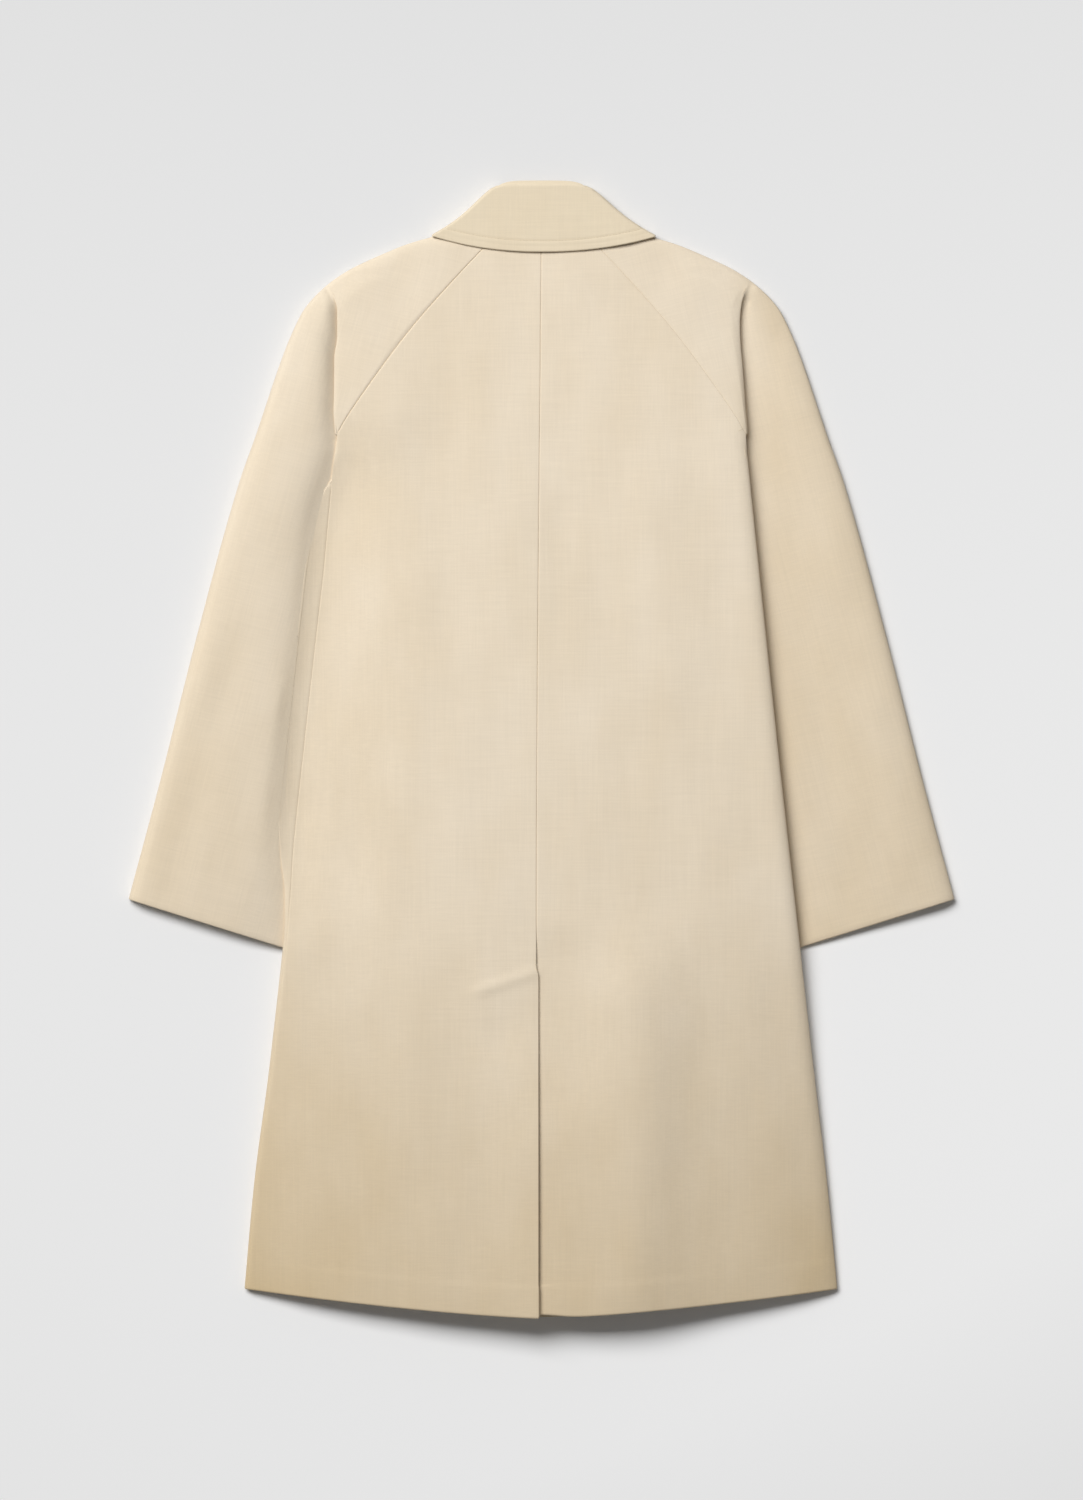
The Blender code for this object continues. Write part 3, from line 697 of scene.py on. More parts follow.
def sunk(points, sign, depth):
    """A grid of points moved in along its normals by a depth."""
    depth = np.broadcast_to(depth, points.shape[:2])
    return points - grid_normals(points, sign) * depth[..., None]


def reach_along(points, axis, backwards):
    """Length along a grid's rows or columns from their first or last point."""
    if backwards:
        return np.flip(reach_along(np.flip(points, axis), axis, False), axis)
    steps = np.linalg.norm(np.diff(points, axis=axis), axis=-1)
    pad = [(0, 0), (0, 0)]
    pad[axis] = (1, 0)
    return np.cumsum(np.pad(steps, pad), axis)


def stacked(x, y, z):
    return np.stack(np.broadcast_arrays(x, y, z), axis=-1).astype(float)


def shell(name, outer, sign, depth, material):
    """A closed cloth wall behind a grid of points, with rounded edges."""
    inner = sunk(outer, sign, depth)
    rows, columns = outer.shape[:2]
    index = np.arange(rows * columns).reshape(rows, columns)
    ring = np.concatenate([index[0, :-1], index[:-1, -1], index[-1, :0:-1], index[:0:-1, 0]])
    away = np.zeros_like(outer)
    away[0] += outer[0] - outer[1]
    away[-1] += outer[-1] - outer[-2]
    for line, near in ((0, 1), (-1, -2)):
        away[:, line] += unit(outer[:, line] - outer[:, near])
    away = unit(away.reshape(-1, 3)[ring])
    points = [outer.reshape(-1, 3), inner.reshape(-1, 3)]
    high, low = (layer[ring] for layer in points)
    centre, half = (high + low) / 2, (high - low) / 2
    radius = np.linalg.norm(half, axis=-1, keepdims=True)
    loops = [ring]
    start = 2 * rows * columns
    for step in range(1, RIM_STEPS):
        angle = np.pi * step / RIM_STEPS
        points.append(centre + half * np.cos(angle) + away * radius * np.sin(angle))
        loops.append(np.arange(start, start + len(ring)))
        start += len(ring)
    loops.append(ring + rows * columns)
    top = np.stack([index[:-1, :-1], index[:-1, 1:], index[1:, 1:], index[1:, :-1]], axis=-1)
    top = top.reshape(-1, 4)
    faces = [top, top[:, ::-1] + rows * columns]
    for above, below in zip(loops[:-1], loops[1:]):
        faces.append(np.stack([above, below, np.roll(below, -1), np.roll(above, -1)], axis=-1))
    quads = np.concatenate(faces)
    if sign < 0:
        quads = quads[:, ::-1]
    return add_mesh(name, np.concatenate(points), quads, material)


def add_mesh(name, points, quads, material):
    mesh = bpy.data.meshes.new(name)
    mesh.from_pydata(points * MM, [], quads, shade_flat=False)
    mesh.validate()
    mesh.materials.append(material)
    return placed(name, mesh)


def placed(name, data):
    piece = bpy.data.objects.new(name, data)
    bpy.context.scene.collection.objects.link(piece)
    return piece


def hem_rows(top, count, steps):
    """Rows from the top down to the hem, with set steps above the hem."""
    return np.concatenate([np.linspace(top, steps[0] - HEM_Y, count), np.array(steps[1:]) - HEM_Y])


def turning(distance, depth):
    """Share of the doubled cloth at a distance from a folded hem."""
    return 1 - ramp(depth - TURNING_STEP, depth + TURNING_STEP, distance)


def unevenness(place):
    """Share of a turned edge's height along it, from faint to plain."""
    sine = np.sin(place / UNEVEN_SINE[0] + UNEVEN_SINE[1])
    cosine = np.cos(place / UNEVEN_COSINE[0] + UNEVEN_COSINE[1])
    return UNEVEN[0] + UNEVEN[1] * sine * cosine


def back_panel(side, word, material):
    """Back panel, columns from the centre back out, rows from the neck to the hem."""
    y = hem_rows(NECK_Y, BACK_ROWS, BACK_HEM_STEPS)
    centre = side * along(CENTRE_BACK, "x", y)
    vent = (1 - ramp(*VENT_TOP, y)) if side > 0 else np.zeros_like(y)
    inner = mix(centre, -VENT_LAP, vent)
    lip = mix(centre + SEAM_LIP, centre, vent)
    rolled = side_reach(side, y) - along(SIDE[side], "turn", y)
    raglan = along(RAGLAN_BACK, "x", y + neck_bend(along(RAGLAN_BACK, "x", y), y))
    outer = mix(rolled, raglan, ramp(*UNDERARM_TOP, y))
    tucked = ramp(*TUCK_FROM, y) * (1 - ramp(*TUCK_TO, y))
    near = between(inner, lip, LIP_COLUMNS, EDGE_STEPS[:LIP_STEPS])
    far = between(lip, outer, BACK_COLUMNS, (0.0,), EDGE_STEPS)
    under = between(outer, outer + mix(TUCK_LEAST, TUCK_LENGTH, tucked), TUCK_COLUMNS)
    run = np.concatenate([near, far[:, 1:], under[:, 1:]], axis=1)
    y, outer, tucked = y[:, None], outer[:, None], tucked[:, None]
    past = np.maximum(run - outer, 0)
    angle = past / TUCK_RADIUS
    step = EDGE_STEPS[1]
    slope = (top_surface(side, outer, y) - top_surface(side, outer - step, y)) / step
    onward = past / np.hypot(1, slope)
    shown = np.minimum(run, outer)
    x = shown + mix(onward, TUCK_RADIUS * (np.cos(angle) - 1), tucked)
    z = top_surface(side, shown, y) + mix(onward * slope, -TUCK_RADIUS * np.sin(angle), tucked)
    if side > 0:
        z = z - along(CENTRE_BACK, "drop", y) * (1 - ramp(0, VENT_SPREAD, x))
    hem = turning(y + HEM_Y, HEM_DEPTH)
    z = z + TURNING_RISE * hem * unevenness(side * x)
    short = VENT_SHORT * bell(x, 0, VENT_SHORT_WIDTH) * hem if side > 0 else 0.0
    points = stacked(side * x, y + hem_bend(x, y) + neck_bend(x, y) + short, z)
    from_centre = reach_along(points, 1, False)
    from_side = reach_along(points, 1, True) * mix(1.0, RAGLAN_SLANT, ramp(*UNDERARM_TOP, y))
    edge_groove = mix(SIDE_GROOVE[side], RAGLAN_GROOVE[side], ramp(*UNDERARM_TOP, y))
    sink = rounded(from_centre, GROOVE_WIDTH, CENTRE_GROOVE) * ramp(*VENT_TOP, y)
    sink = sink + rounded(from_side, GROOVE_WIDTH, 1.0) * edge_groove
    points = sunk(points, -side, sink)
    return shell(f"back_{word}_cloth", points, -side, mix(CLOTH, HEM_CLOTH, hem), material)


def front_columns(start, inner, lapped, share):
    """X of the flat columns, which stand closer where one front climbs onto the other."""
    low, high = LAP_RAMP
    stops = [start, mix(start, high, 0.5), start * 0 + high, start * 0 + low, inner]
    step = held(share) * (len(stops) - 1)
    x = sum(stop * held(1 - np.abs(step - k)) for k, stop in enumerate(stops))
    return np.where(lapped, x, mix(start, inner, share))


def front_panel(side, word, material):
    """Front panel, columns from the side or raglan seam round the rolled side to the centre front."""
    y = hem_rows(FRONT_TOP_Y, FRONT_ROWS, FRONT_HEM_STEPS)[:, None]
    u = np.linspace(0, CURL_SHARE, CURL_COLUMNS)
    u = np.concatenate([u, np.linspace(CURL_SHARE, 1, FLAT_COLUMNS)[1:]])[None, :]
    below = 1 - ramp(*UNDERARM_BLEND, y)
    rolled = side_reach(side, y)
    seam = along(SIDE[side], "turn", y)
    reach = mix(rolled, along(RAGLAN_FRONT, "x", y), ramp(*FRONT_UNDERARM, y))
    turn = np.maximum(reach - rolled + seam, 0)
    covered = ramp(0, COVER_WIDTH, rolled - seam - reach)
    height = (side_edge(side, y) - COVER_DROP * covered) * below
    curled = u / CURL_SHARE
    flat = (u - CURL_SHARE) / (1 - CURL_SHARE)
    wrap = np.maximum(WRAP_SHARE * turn / (turn + WRAP_HALF), TINY)
    on_top = (curled < wrap) & (turn > 0)
    top_x = reach - turn * held(1 - curled / wrap) ** WRAP_POWER
    angle = held((1 - curled) / (1 - wrap)) * np.pi / 2
    lapped = y < FRONT_NECK_Y
    inner = np.where(lapped, -FRONT_LAP, along(FRONT_NECK, "x", y))
    curl = np.minimum(along(BODY, "curl", y), CURL_LIMIT * (reach - inner))
    under_x = reach - curl + curl * np.sin(angle)
    flat_x = front_columns(reach - curl, inner, lapped, flat)
    x = np.where(u < CURL_SHARE, np.where(on_top, top_x, under_x), flat_x)
    under_z = height * (1 - np.cos(angle))
    ground = leaf_lift(x, y)
    if side < 0:
        ground = ground + LAP_RAISE * (1 - ramp(*LAP_RAMP, x))
    z = np.where(u < CURL_SHARE, np.where(on_top, top_surface(side, x, y), under_z), 0.0) + ground
    points = stacked(side * x, y + hem_bend(x, y), z)
    hem = turning(y + HEM_Y, HEM_DEPTH)
    sink = rounded(reach_along(points, 1, False), GROOVE_WIDTH, SIDE_GROOVE[side]) * below
    points = sunk(points, -side, sink)
    return shell(f"front_{word}_cloth", points, -side, mix(CLOTH, HEM_CLOTH, hem), material)


def sleeve_ends(side, seam, table, v):
    """Plan ends of a sleeve row: on the raglan seam or inseam, and on the overarm seam."""
    row = v * table[-1].row
    inner = along(table, "inner", row)
    line = measured([(knot.x, knot.y) for knot in reversed(seam)])
    reached = held(inner) * line[-1].distance
    down = held(inner - 1)
    inseam_y = mix(line[-1].y, CUFF_INNER_Y, down)
    inseam_x = side_reach(side, inseam_y) - along(INSEAM_TUCK, "depth", inseam_y)
    x_in = mix(along(line, "x", reached), inseam_x, ramp(0, INSEAM_START, down))
    y_in = np.where(inner > 1, inseam_y, along(line, "y", reached))
    edge = measured(OVERARM)
    distance = along(table, "overarm", row) / table[-1].overarm * edge[-1].distance
    return x_in, y_in, along(edge, "x", distance), along(edge, "y", distance)


def sleeve_back_points(side, u, v):
    """Back sleeve: u from the raglan seam, over and under the pleat, to the overarm seam."""
    table = SLEEVE_BACK[side]
    x_in, y_in, x_out, y_out = sleeve_ends(side, RAGLAN_BACK, table, v)
    row = v * table[-1].row
    columns = {name: along(table, name, row) for name in table[0]._fields[3:]}
    fold, depth, trim, tube = (columns[name] for name in ("fold", "depth", "trim", "tube"))
    length = np.hypot(x_out - x_in, y_out - y_in)
    step_x, step_y = (x_out - x_in) / length, (y_out - y_in) / length
    edge = leaf_lift(x_out, y_out) + EDGE_TOP
    turn = 0.0 * length
    for _ in range(TURN_ROUNDS):
        turn = (along(FOLD_LINE[side], "x", y_in + turn * step_y) - x_in) / step_x
        turn = np.clip(turn, TURN_LEAST, TURN_LIMIT * length)
    fold = fold * ramp(*FOLD_ROOM, length - turn)
    fold_a = np.array([p.turn * turn + p.over * (length - turn) for p in PLEAT])
    fold_a = fold_a + np.array([(p.depth * depth + p.shift) * fold for p in PLEAT])
    tucked = side_reach(side, y_in) - x_in - TUBE_TUCK
    tube_a = np.array([p.length * length + p.shift + tucked * (1 - p.length) for p in TUBE])
    yoke_a = mix(np.array(YOKE_SHARES)[:, None] * length, fold_a, ramp(*GATHERED, row))
    share = held(yoke_a / length)
    rise = (1 - share**YOKE_ROUND) ** (1 / YOKE_ROLL)
    yoke_z = edge + (top_surface(side, x_in + yoke_a * step_x, y_in + yoke_a * step_y) - edge) * rise
    nose = NOSE_RISE[side] * (1 - along(SIDE[side], "flat", y_in))
    levels = {
        "top": top_surface(side, x_in + fold_a * step_x, y_in + fold_a * step_y),
        "roll": along(BODY, "edge", y_in) + nose + 0 * fold_a,
        "edge": edge + 0 * fold_a,
        "floor": 0 * fold_a,
    }
    for name in ("rim", "crest", "slope", "valley", "foot"):
        levels[name] = columns[name] + 0 * fold_a
    fold_z = np.array([levels[p.level][k] + p.rise for k, p in enumerate(PLEAT)])
    tube_z = np.array([levels[p.level][k] + p.rise for k, p in enumerate(TUBE)])
    before_fold = np.arange(SLEEVE_POINTS)[:, None] < FOLD_POINT
    folded = np.where(before_fold, ramp(*SETTLED, row), fold)
    points_a = mix(yoke_a, tube_a, tube)
    points_z = mix(mix(yoke_z, fold_z, folded), tube_z, tube)
    q = np.where(u < PIVOT, mix(trim, PIVOT, u / PIVOT), u)
    weights = spline_weights(q, SLEEVE_POINTS)
    reach = (weights * points_a).sum(0)
    shown = mix(1.0, ramp(*SHOWN_FROM, q), fold)
    return x_in + reach * step_x, y_in + reach * step_y, (weights * points_z).sum(0), shown


def sleeve_back(side, word, material):
    """Back half of a sleeve, columns from the raglan seam to the overarm, rows from neck to cuff."""
    v = np.linspace(0, 1, SLEEVE_ROWS)
    u = np.concatenate([RAGLAN_STEPS, np.linspace(*SLEEVE_MIDDLE, SLEEVE_COLUMNS), OVERARM_STEPS])
    grid_v, grid_u = (part.ravel() for part in np.meshgrid(v, u, indexing="ij"))
    parts = sleeve_back_points(side, grid_u, grid_v)
    x, y, z, shown = (part.reshape(len(v), len(u)) for part in parts)
    points = stacked(side * x, y, z)
    from_edge = reach_along(points, 1, True)
    fade = ramp(0, SLEEVE_FADE, from_edge) * ramp(0, SLEEVE_FADE, reach_along(points, 1, False))
    points[..., 2] += shown * fade * fold_heights(SLEEVE_FOLDS, side * x, y)
    from_seam = reach_along(points, 1, False) * RAGLAN_SLANT
    raglan = 1 - ramp(*RAGLAN_END, v)[:, None]
    sink = rounded(from_seam, GROOVE_WIDTH, RAGLAN_GROOVE[side]) * raglan
    points = sunk(points, -side, sink)
    points[..., 2] -= rounded(from_edge, EDGE_CURL_WIDTH, EDGE_CURL)
    cuff = turning(reach_along(points, 0, True), CUFF_DEPTH)
    points[..., 2] += TURNING_RISE * cuff * unevenness(x)
    return shell(f"sleeve_back_{word}_cloth", points, -side, mix(CLOTH, HEM_CLOTH, cuff), material)


def sleeve_front(side, word, material):
    """Front half of a sleeve, flat on the floor."""
    v = np.linspace(0, 1, UNDER_ROWS)[:, None]
    u = np.concatenate([np.linspace(0, UNDER_STEPS[0], UNDER_COLUMNS), UNDER_STEPS[1:]])[None, :]
    x_in, y_in, x_out, y_out = sleeve_ends(side, RAGLAN_FRONT, SLEEVE_FRONT, v)
    x, y = mix(x_in, x_out, u), mix(y_in, y_out, u)
    points = stacked(side * x, y, leaf_lift(x, y))
    points[..., 2] += rounded(reach_along(points, 1, True), EDGE_CURL_WIDTH, EDGE_CURL)
    cuff = turning(reach_along(points, 0, True), CUFF_DEPTH)
    return shell(f"sleeve_front_{word}_cloth", points, -side, -mix(CLOTH, HEM_CLOTH, cuff), material)


def collar_path(t, v, back, front, bulge, back_z, front_z):
    """A point that runs over the back, round the side fold and under the front."""
    reach = np.abs(t)
    share_back = held(reach / FOLD_FROM)
    share_front = held((reach - FOLD_TO) / (1 - FOLD_TO))
    angle = held((reach - FOLD_FROM) / (FOLD_TO - FOLD_FROM)) * np.pi
    x_back, y_back = back(share_back)
    x_front, y_front = front(share_front)
    under = reach > FOLD_TO
    out_x, out_y = (mix(ROLL_OUTWARD[k], FOLD_OUTWARD[k], ramp(0, ROLL_TURNED, v)) for k in (0, 1))
    x = np.where(under, x_front, x_back) + bulge * np.sin(angle) * out_x
    y = np.where(under, y_front, y_back) + bulge * np.sin(angle) * out_y
    z = mix(back_z, front_z, (1 - np.cos(angle)) / 2)
    return np.where(t < 0, -x, x), y, z


def fall_points(t, v):
    """Collar fall: t from one front edge round to the other, v from the roll line to the edge."""
    side = held(np.abs(t) / FOLD_FROM)
    roll_in = ROLL_IN * (1 - ramp(0, ROLL_SHARE, v))
    left, right = FALL_EDGE_CORNER[-1], FALL_EDGE_CORNER[1]
    corner_x, corner_y = (np.where(t < 0, left[k], right[k]) for k in (0, 1))
    waist = FALL_WAIST * np.sin(np.pi * v**FALL_WAIST_LOW)

    def back(share):
        roll_y = mix(HALF_LENGTH, FALL_ROLL_CORNER[1], share**FALL_ROLL_POWER)
        edge_y = mix(FALL_EDGE_Y, corner_y, share**FALL_EDGE_POWER)
        return (mix(FALL_ROLL_CORNER[0], corner_x, v) - waist) * share, mix(roll_y, edge_y, v)

    def front(share):
        roll_x, roll_y = straight(FALL_ROLL_CORNER, FALL_FRONT_ROLL, share)
        edge_x, edge_y = straight((corner_x, corner_y), FALL_POINT, share)
        edge_x = edge_x + FALL_EDGE_BOW * np.sin(np.pi * share)
        return mix(roll_x, edge_x, v) - waist * (1 - share), mix(roll_y, edge_y, v)

    lifted = bell(t * corner_x / FOLD_FROM, FALL_LIFT_X, FALL_LIFT_WIDTH)
    lifted = FALL_LIFT * v**FALL_LIFT_POWER * lifted
    back_z = FALL_ROLL_Z + (FALL_EDGE_RISE - FALL_SIDE_DROP * side**2) * v - roll_in + lifted
    return collar_path(t, v, back, front, mix(*FALL_BULGE, v) - roll_in, back_z, roll_in)


def stand_points(t, v):
    """Collar stand: t round the neck, v from the roll line to the neck seam."""
    side = held(np.abs(t) / FOLD_FROM)

    def back(share):
        roll_y = mix(HALF_LENGTH - STAND_TOP_INSET, STAND_ROLL_CORNER[1], share**STAND_ROLL_POWER)
        base_x = NECK_SIDE_X * share
        base_y = NECK_Y + NECK_SIDE_RISE * share**2
        return mix(STAND_ROLL_CORNER[0] * share, base_x, v), mix(roll_y, base_y, v)

    def front(share):
        roll_x, roll_y = straight(STAND_ROLL_CORNER, STAND_FRONT_ROLL, share)
        base_y = mix(NECK_Y + NECK_SIDE_RISE, STAND_FRONT_Y, share)
        base_x = along(FRONT_NECK, "x", base_y)
        return mix(roll_x, base_x, v), mix(roll_y, base_y, v)

    back_z = STAND_Z - STAND_SIDE_DROP * side**STAND_DROP_POWER * v
    return collar_path(t, v, back, front, STAND_BULGE, back_z, LEAF_LIFT)


def joined(stops, counts):
    """Even steps from each stop to the next."""
    parts = [np.linspace(*ends, count)[1:] for *ends, count in zip(stops[:-1], stops[1:], counts)]
    return np.concatenate([stops[:1], *parts])


def collar_steps():
    half = joined((0, FOLD_FROM, FOLD_TO, 1), COLLAR_COLUMNS)
    return np.concatenate([-half[:0:-1], half])


def fall_surface(t, v):
    """Points of the collar fall with the lines that its stitching draws in."""
    points = stacked(*fall_points(t, v))
    drawn = STITCH_SINK * bell(v, STITCH_V, STITCH_SINK_V)
    drawn = drawn + INNER_SINK * bell(v, INNER_V, STITCH_SINK_V)
    return sunk(points, -1, drawn)


def collar_fall(material):
    t = collar_steps()[None, :]
    v = joined((0, ROLL_SHARE, STITCH_V - STITCH_MARGIN, INNER_V + STITCH_MARGIN, 1), FALL_ROWS)
    return shell("collar_fall_cloth", fall_surface(t, v[:, None]), -1, COLLAR_CLOTH, material)


def stitches(name, starts, stops, normals, material):
    """Short rounded threads from each start to its stop, half sunk in the cloth."""
    length = np.linalg.norm(stops - starts, axis=-1, keepdims=True)
    run = unit(stops - starts)
    across = unit(np.cross(run, normals))
    up = np.cross(across, run)
    rings = []
    for share in np.linspace(0, 1, STITCH_RINGS):
        off = 2 * share - 1
        swell = THREAD_RADIUS * (1 - THREAD_TAPER * abs(off) ** TAPER_POWER)
        centre = starts + run * length * share + up * THREAD_RISE * (1 - off**2)
        for k in range(STITCH_SIDES):
            angle = 2 * np.pi * k / STITCH_SIDES
            rings.append(centre + swell * (across * np.cos(angle) + up * np.sin(angle)))
    points = np.stack(rings, axis=1)
    grid = np.arange(STITCH_RINGS * STITCH_SIDES).reshape(STITCH_RINGS, STITCH_SIDES)
    turned = np.roll(grid, -1, 1)
    walls = np.stack([grid[:-1], turned[:-1], turned[1:], grid[1:]], axis=-1)
    first, last = grid[0], grid[-1]
    caps = [first[[3, 2, 1, 0]], first[[5, 4, 3, 0]], last[[0, 1, 2, 3]], last[[0, 3, 4, 5]]]
    one = np.concatenate([walls.reshape(-1, 4), np.array(caps)])
    quads = (one[None] + len(rings) * np.arange(len(starts))[:, None, None]).reshape(-1, 4)
    return add_mesh(name, points.reshape(-1, 3), quads, material)


def collar_stitching(material):
    """A row of topstitching along the collar's edge, from one front to the other."""
    t = np.linspace(-STITCH_END, STITCH_END, STITCH_SAMPLES)[None, :]
    v = STITCH_V + np.array([-STITCH_SLICE, 0.0, STITCH_SLICE])[:, None]
    surface = fall_surface(t, v)
    normal = grid_normals(surface, -1)[1]
    line = surface[1] + normal * THREAD_OUT
    reach = np.concatenate([[0.0], np.cumsum(np.linalg.norm(np.diff(line, axis=0), axis=-1))])
    begin = np.arange(0.0, reach[-1] - STITCH_PITCH, STITCH_PITCH)

    def at(distance, rows):
        return np.stack([np.interp(distance, reach, rows[:, k]) for k in range(3)], axis=-1)

    normals = at(begin + STITCH_LENGTH / 2, normal)
    stops = at(begin + STITCH_LENGTH, line)
    return stitches("collar_topstitch", at(begin, line), stops, normals, material)


def tacks(material):
    """Hand tacks on the back: at the vent's head and edge, and at the end of the right raglan seam."""
    ends = []
    rows = np.array(TACKS, float)
    for plan in (rows[:, :2], rows[:, 2:]):
        side = np.sign(plan[:, 0])
        height = [top_surface(int(s), abs(x), y) for s, (x, y) in zip(side, plan)]
        ends.append(np.column_stack([plan, np.array(height) + THREAD_OUT]))
    return stitches("hand_tacks", *ends, (0.0, 0.0, 1.0), material)


def collar_stand(material):
    t = collar_steps()[None, :]
    v = np.linspace(0, 1, STAND_ROWS)[:, None]
    points = stacked(*stand_points(t, v))
    return shell("collar_stand_cloth", points, -1, CLOTH, material)


def feed(tree, socket, value):
    """Set an input, or link it where the value is a socket."""
    if isinstance(value, bpy.types.NodeSocket):
        tree.links.new(value, socket)
    else:
        socket.default_value = value


def give(tree, made, values):
    """Set a node's inputs and fields by name."""
    for name, value in values.items():
        if name in made.inputs.keys():
            feed(tree, made.inputs[name], value)
        else:
            setattr(made, name, value)


def node(tree, kind, **values):
    made = tree.nodes.new(kind)
    give(tree, made, values)
    return made


def math_node(tree, operation, *values, kind="ShaderNodeMath"):
    """The result of a math node whose inputs are sockets or numbers."""
    made = node(tree, kind, operation=operation)
    for socket, value in zip(made.inputs, values):
        feed(tree, socket, value)
    return made.outputs["Value"]


def summed(tree, first, *others):
    """The sum of sockets and numbers."""
    for other in others:
        first = math_node(tree, "ADD", first, other)
    return first


def swing(tree, value, middle, share):
    """How far a value lies from a middle, times a share."""
    return math_node(tree, "MULTIPLY", math_node(tree, "SUBTRACT", value, middle), share)


def threads(tree, coords, stretch, spacing):
    """Uneven threads: noise drawn out along one direction, in millimetres."""
    drawn = node(tree, "ShaderNodeMapping", Scale=stretch, Vector=coords).outputs[0]
    noise = {"Scale": 1.0 / spacing, "Detail": 3.0, "Roughness": 0.55}
    return node(tree, "ShaderNodeTexNoise", Vector=drawn, **noise).outputs["Fac"]


def weave(tree, coords, direction):
    """One set of threads of a plain weave."""
    bands = {"wave_type": "BANDS", "bands_direction": direction, "Distortion": 0.6, "Detail Scale": 0.4}
    scale = WAVE_PERIOD / THREAD_SPACING
    return node(tree, "ShaderNodeTexWave", Vector=coords, Scale=scale, **bands).outputs["Fac"]


def ranged(tree, value, limits):
    """A value mapped from one range to another, held at the ends."""
    ends = dict(zip(("From Min", "From Max", "To Min", "To Max"), limits))
    return node(tree, "ShaderNodeMapRange", Value=value, **ends).outputs[0]


def blank(name):
    """A new material, its nodes, its shader and the place on the object."""
    material = bpy.data.materials.new(name)
    material.use_nodes = True
    tree = material.node_tree
    place = node(tree, "ShaderNodeTexCoord").outputs["Object"]
    return material, tree, tree.nodes["Principled BSDF"], place


def blended(tree, first, second, share):
    """A colour that runs on from the first through the second as the share grows."""
    colour = node(tree, "ShaderNodeMix", data_type="RGBA", clamp_factor=False)
    sockets = {socket.identifier: socket for socket in colour.inputs}
    for name, value in (("A_Color", (*first, 1)), ("B_Color", (*second, 1)), ("Factor_Float", share)):
        feed(tree, sockets[name], value)
    return next(socket for socket in colour.outputs if socket.identifier == "Result_Color")


def shaded(tree, colour, shade):
    """A colour times a shade."""
    scaled = node(tree, "ShaderNodeVectorMath", operation="SCALE", Vector=colour, Scale=shade)
    return scaled.outputs[0]


def cloth_material(name, upper, lower, turn, outward, body=False):
    """Cotton with uneven threads and a soft mottle, with painted shade: darker and warmer towards the
    hem and outward, and on the left of the back.
    """
    material, tree, shader, place = blank(name)
    turned = {"Scale": (1 / MM, 1 / MM, 1 / MM), "Rotation": (0.0, 0.0, turn)}
    coords = node(tree, "ShaderNodeMapping", Vector=place, **turned).outputs[0]
    weft = threads(tree, coords, WEFT_STRETCH, SLUB)
    warp = threads(tree, coords, WARP_STRETCH, SLUB)
    broad = threads(tree, coords, MOTTLE_STRETCH, MOTTLE)
    fine = summed(tree, weave(tree, coords, "X"), weave(tree, coords, "Y"))
    slubs = summed(tree, weft, warp)

    axes = node(tree, "ShaderNodeSeparateXYZ", Vector=place).outputs
    # Painted shade: darker and warmer towards the hem, for the light falling off
    drop = ranged(tree, axes["Y"], PAINTED_HEM_SHADE_RANGE)
    tone = summed(tree, drop, swing(tree, broad, 0.5, MOTTLE_SHARE))
    # Painted shade towards the sides: along a sleeve's outer part, and on the body only as far down as
    # the hem shade
    aside = ranged(tree, math_node(tree, "ABSOLUTE", axes["X"]), outward)
    if body:
        aside = math_node(tree, "MULTIPLY", aside, drop)
        # Painted shade on the left of the back
        tone = summed(tree, tone, ranged(tree, axes["X"], PAINTED_LEFT_SHADE))
    tone = summed(tree, tone, aside)
    shade = summed(tree, swing(tree, slubs, 1.0, SLUB_SHADE), swing(tree, fine, 1.0, WEAVE_SHADE), 1.0)

    relief = summed(tree, fine, math_node(tree, "MULTIPLY", slubs, SLUB_RELIEF))
    bump = {"Strength": BUMP_STRENGTH, "Distance": BUMP_METRES}
    give(tree, shader, {
        "Base Color": shaded(tree, blended(tree, upper, lower, tone), shade),
        "Roughness": math_node(tree, "MULTIPLY_ADD", slubs, SLUB_ROUGHNESS, CLOTH_ROUGHNESS),
        "Normal": node(tree, "ShaderNodeBump", Height=relief, **bump).outputs[0],
        "Specular IOR Level": CLOTH_SPECULAR,
        "Sheen Weight": CLOTH_SHEEN,
        "Sheen Roughness": SHEEN_ROUGHNESS,
    })
    return material


def thread_material():
    """Sewing thread with a fine twist."""
    material, tree, shader, place = blank("sewing_thread")
    noise = node(tree, "ShaderNodeTexNoise", Vector=place, Scale=THREAD_GRAIN, Detail=2.0)
    shade = math_node(tree, "MULTIPLY_ADD", noise.outputs["Fac"], *THREAD_SHADE)
    give(tree, shader, {
        "Base Color": shaded(tree, THREAD_COLOUR, shade),
        "Roughness": THREAD_ROUGHNESS,
        "Specular IOR Level": THREAD_SPECULAR,
    })
    return material


def dot_product(tree, first, second):
    return math_node(tree, "DOT_PRODUCT", first, second, kind="ShaderNodeVectorMath")


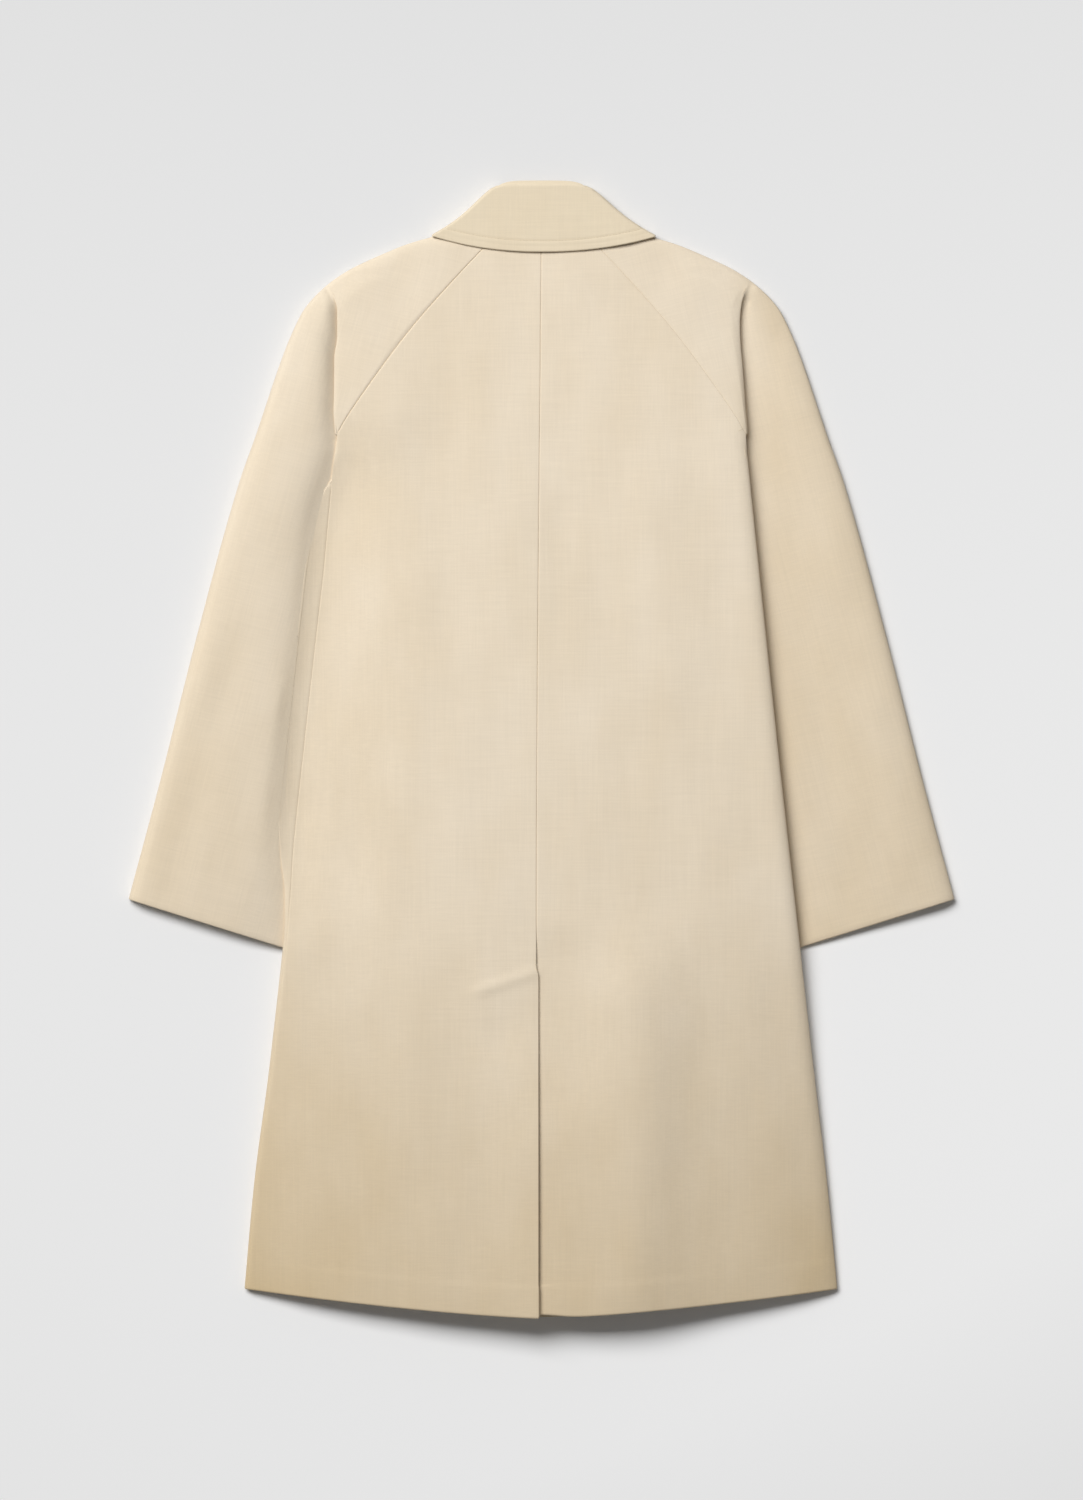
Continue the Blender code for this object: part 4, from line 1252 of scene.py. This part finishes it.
def floor():
    """A pale paper floor, a little lighter where less of the key light reaches it."""
    mesh = bpy.data.meshes.new("floor")
    square = [(x * FLOOR_HALF, y * FLOOR_HALF, 0) for x, y in ((-1, -1), (1, -1), (1, 1), (-1, 1))]
    mesh.from_pydata(square, [], [(0, 1, 2, 3)])
    material, tree, shader, place = blank("floor_paper")
    tone = math_node(tree, "MULTIPLY", dot_product(tree, place, place), FLOOR_ROUND)
    tone = summed(tree, tone, dot_product(tree, place, FLOOR_SLOPE), FLOOR_TONE)
    tone = math_node(tree, "MAXIMUM", tone, FLOOR_LIMITS[0])
    tone = math_node(tree, "MINIMUM", tone, FLOOR_LIMITS[1])
    grey = node(tree, "ShaderNodeCombineColor", Red=tone, Green=tone, Blue=tone).outputs[0]
    give(tree, shader, {"Base Color": grey, "Roughness": 1.0, "Specular IOR Level": 0.0})
    mesh.materials.append(material)
    piece = placed("floor", mesh)
    piece.location.z = FLOOR_Z


def aim(piece, target):
    """Turn a lamp to a target, with its width kept along X."""
    back = (piece.location - Vector(target)).normalized()
    across = (Vector((1.0, 0.0, 0.0)) - back * back.x).normalized()
    piece.rotation_euler = Matrix((across, back.cross(across), back)).transposed().to_euler()


def lights():
    key = bpy.data.lights.new("key", "AREA")
    key.shape = "RECTANGLE"
    key.size = KEY_WIDTH
    key.size_y = KEY_DEPTH
    key.energy = KEY_ENERGY
    key.spread = KEY_SPREAD
    lamp = placed("key", key)
    lamp.location = KEY_PLACE
    aim(lamp, KEY_TARGET)
    world = bpy.data.worlds.new("studio")
    world.use_nodes = True
    sky = world.node_tree.nodes["Background"]
    give(world.node_tree, sky, {"Color": (1.0, 1.0, 1.0, 1.0), "Strength": FILL})
    bpy.context.scene.world = world


def camera():
    data = bpy.data.cameras.new("camera")
    data.sensor_width = SENSOR
    data.lens = SENSOR * CAMERA_HEIGHT / PHOTO_HEIGHT
    data.clip_end = CAMERA_REACH
    eye = placed("camera", data)
    eye.location = (0, 0, CAMERA_HEIGHT)
    bpy.context.scene.camera = eye


def dress(piece, cut, trims):
    """Attach a piece of cloth and its thread to the root body, and hide the solid that it stands for."""
    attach(piece, "root")
    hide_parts(cut.node)
    for trim in trims:
        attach(trim, "root")


def coat():
    cloth = cloth_material("coat_cotton", UPPER, LOWER, 0.0, PAINTED_LOWER_SIDE_SHADE, True)
    collar = cloth_material("collar_cotton", COLLAR_UPPER, LOWER, 0.0, COLLAR_NO_SIDE_SHADE)
    pieces = {"collar_fall": collar_fall(collar), "collar_stand": collar_stand(collar)}
    for side, word in SIDES:
        turn = -side * SLEEVE_TURN
        # Each sleeve has its own copy of the cotton, with its own painted shade
        sleeve = cloth_material(f"sleeve_cotton_{word}", UPPER, LOWER, turn, PAINTED_SLEEVE_SHADE[side])
        pieces[f"back_{word}"] = back_panel(side, word, cloth)
        pieces[f"front_{word}"] = front_panel(side, word, cloth)
        pieces[f"sleeve_back_{word}"] = sleeve_back(side, word, sleeve)
        pieces[f"sleeve_front_{word}"] = sleeve_front(side, word, sleeve)
    thread = thread_material()
    trims = {"collar_fall": [collar_stitching(thread)], "back_left": [tacks(thread)]}
    for cut in CUTS:
        dress(pieces[cut.node], cut, trims.get(cut.node, []))


def main():
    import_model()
    bpy.context.scene.view_settings.view_transform = "Standard"
    camera()
    lights()
    floor()
    coat()


main()
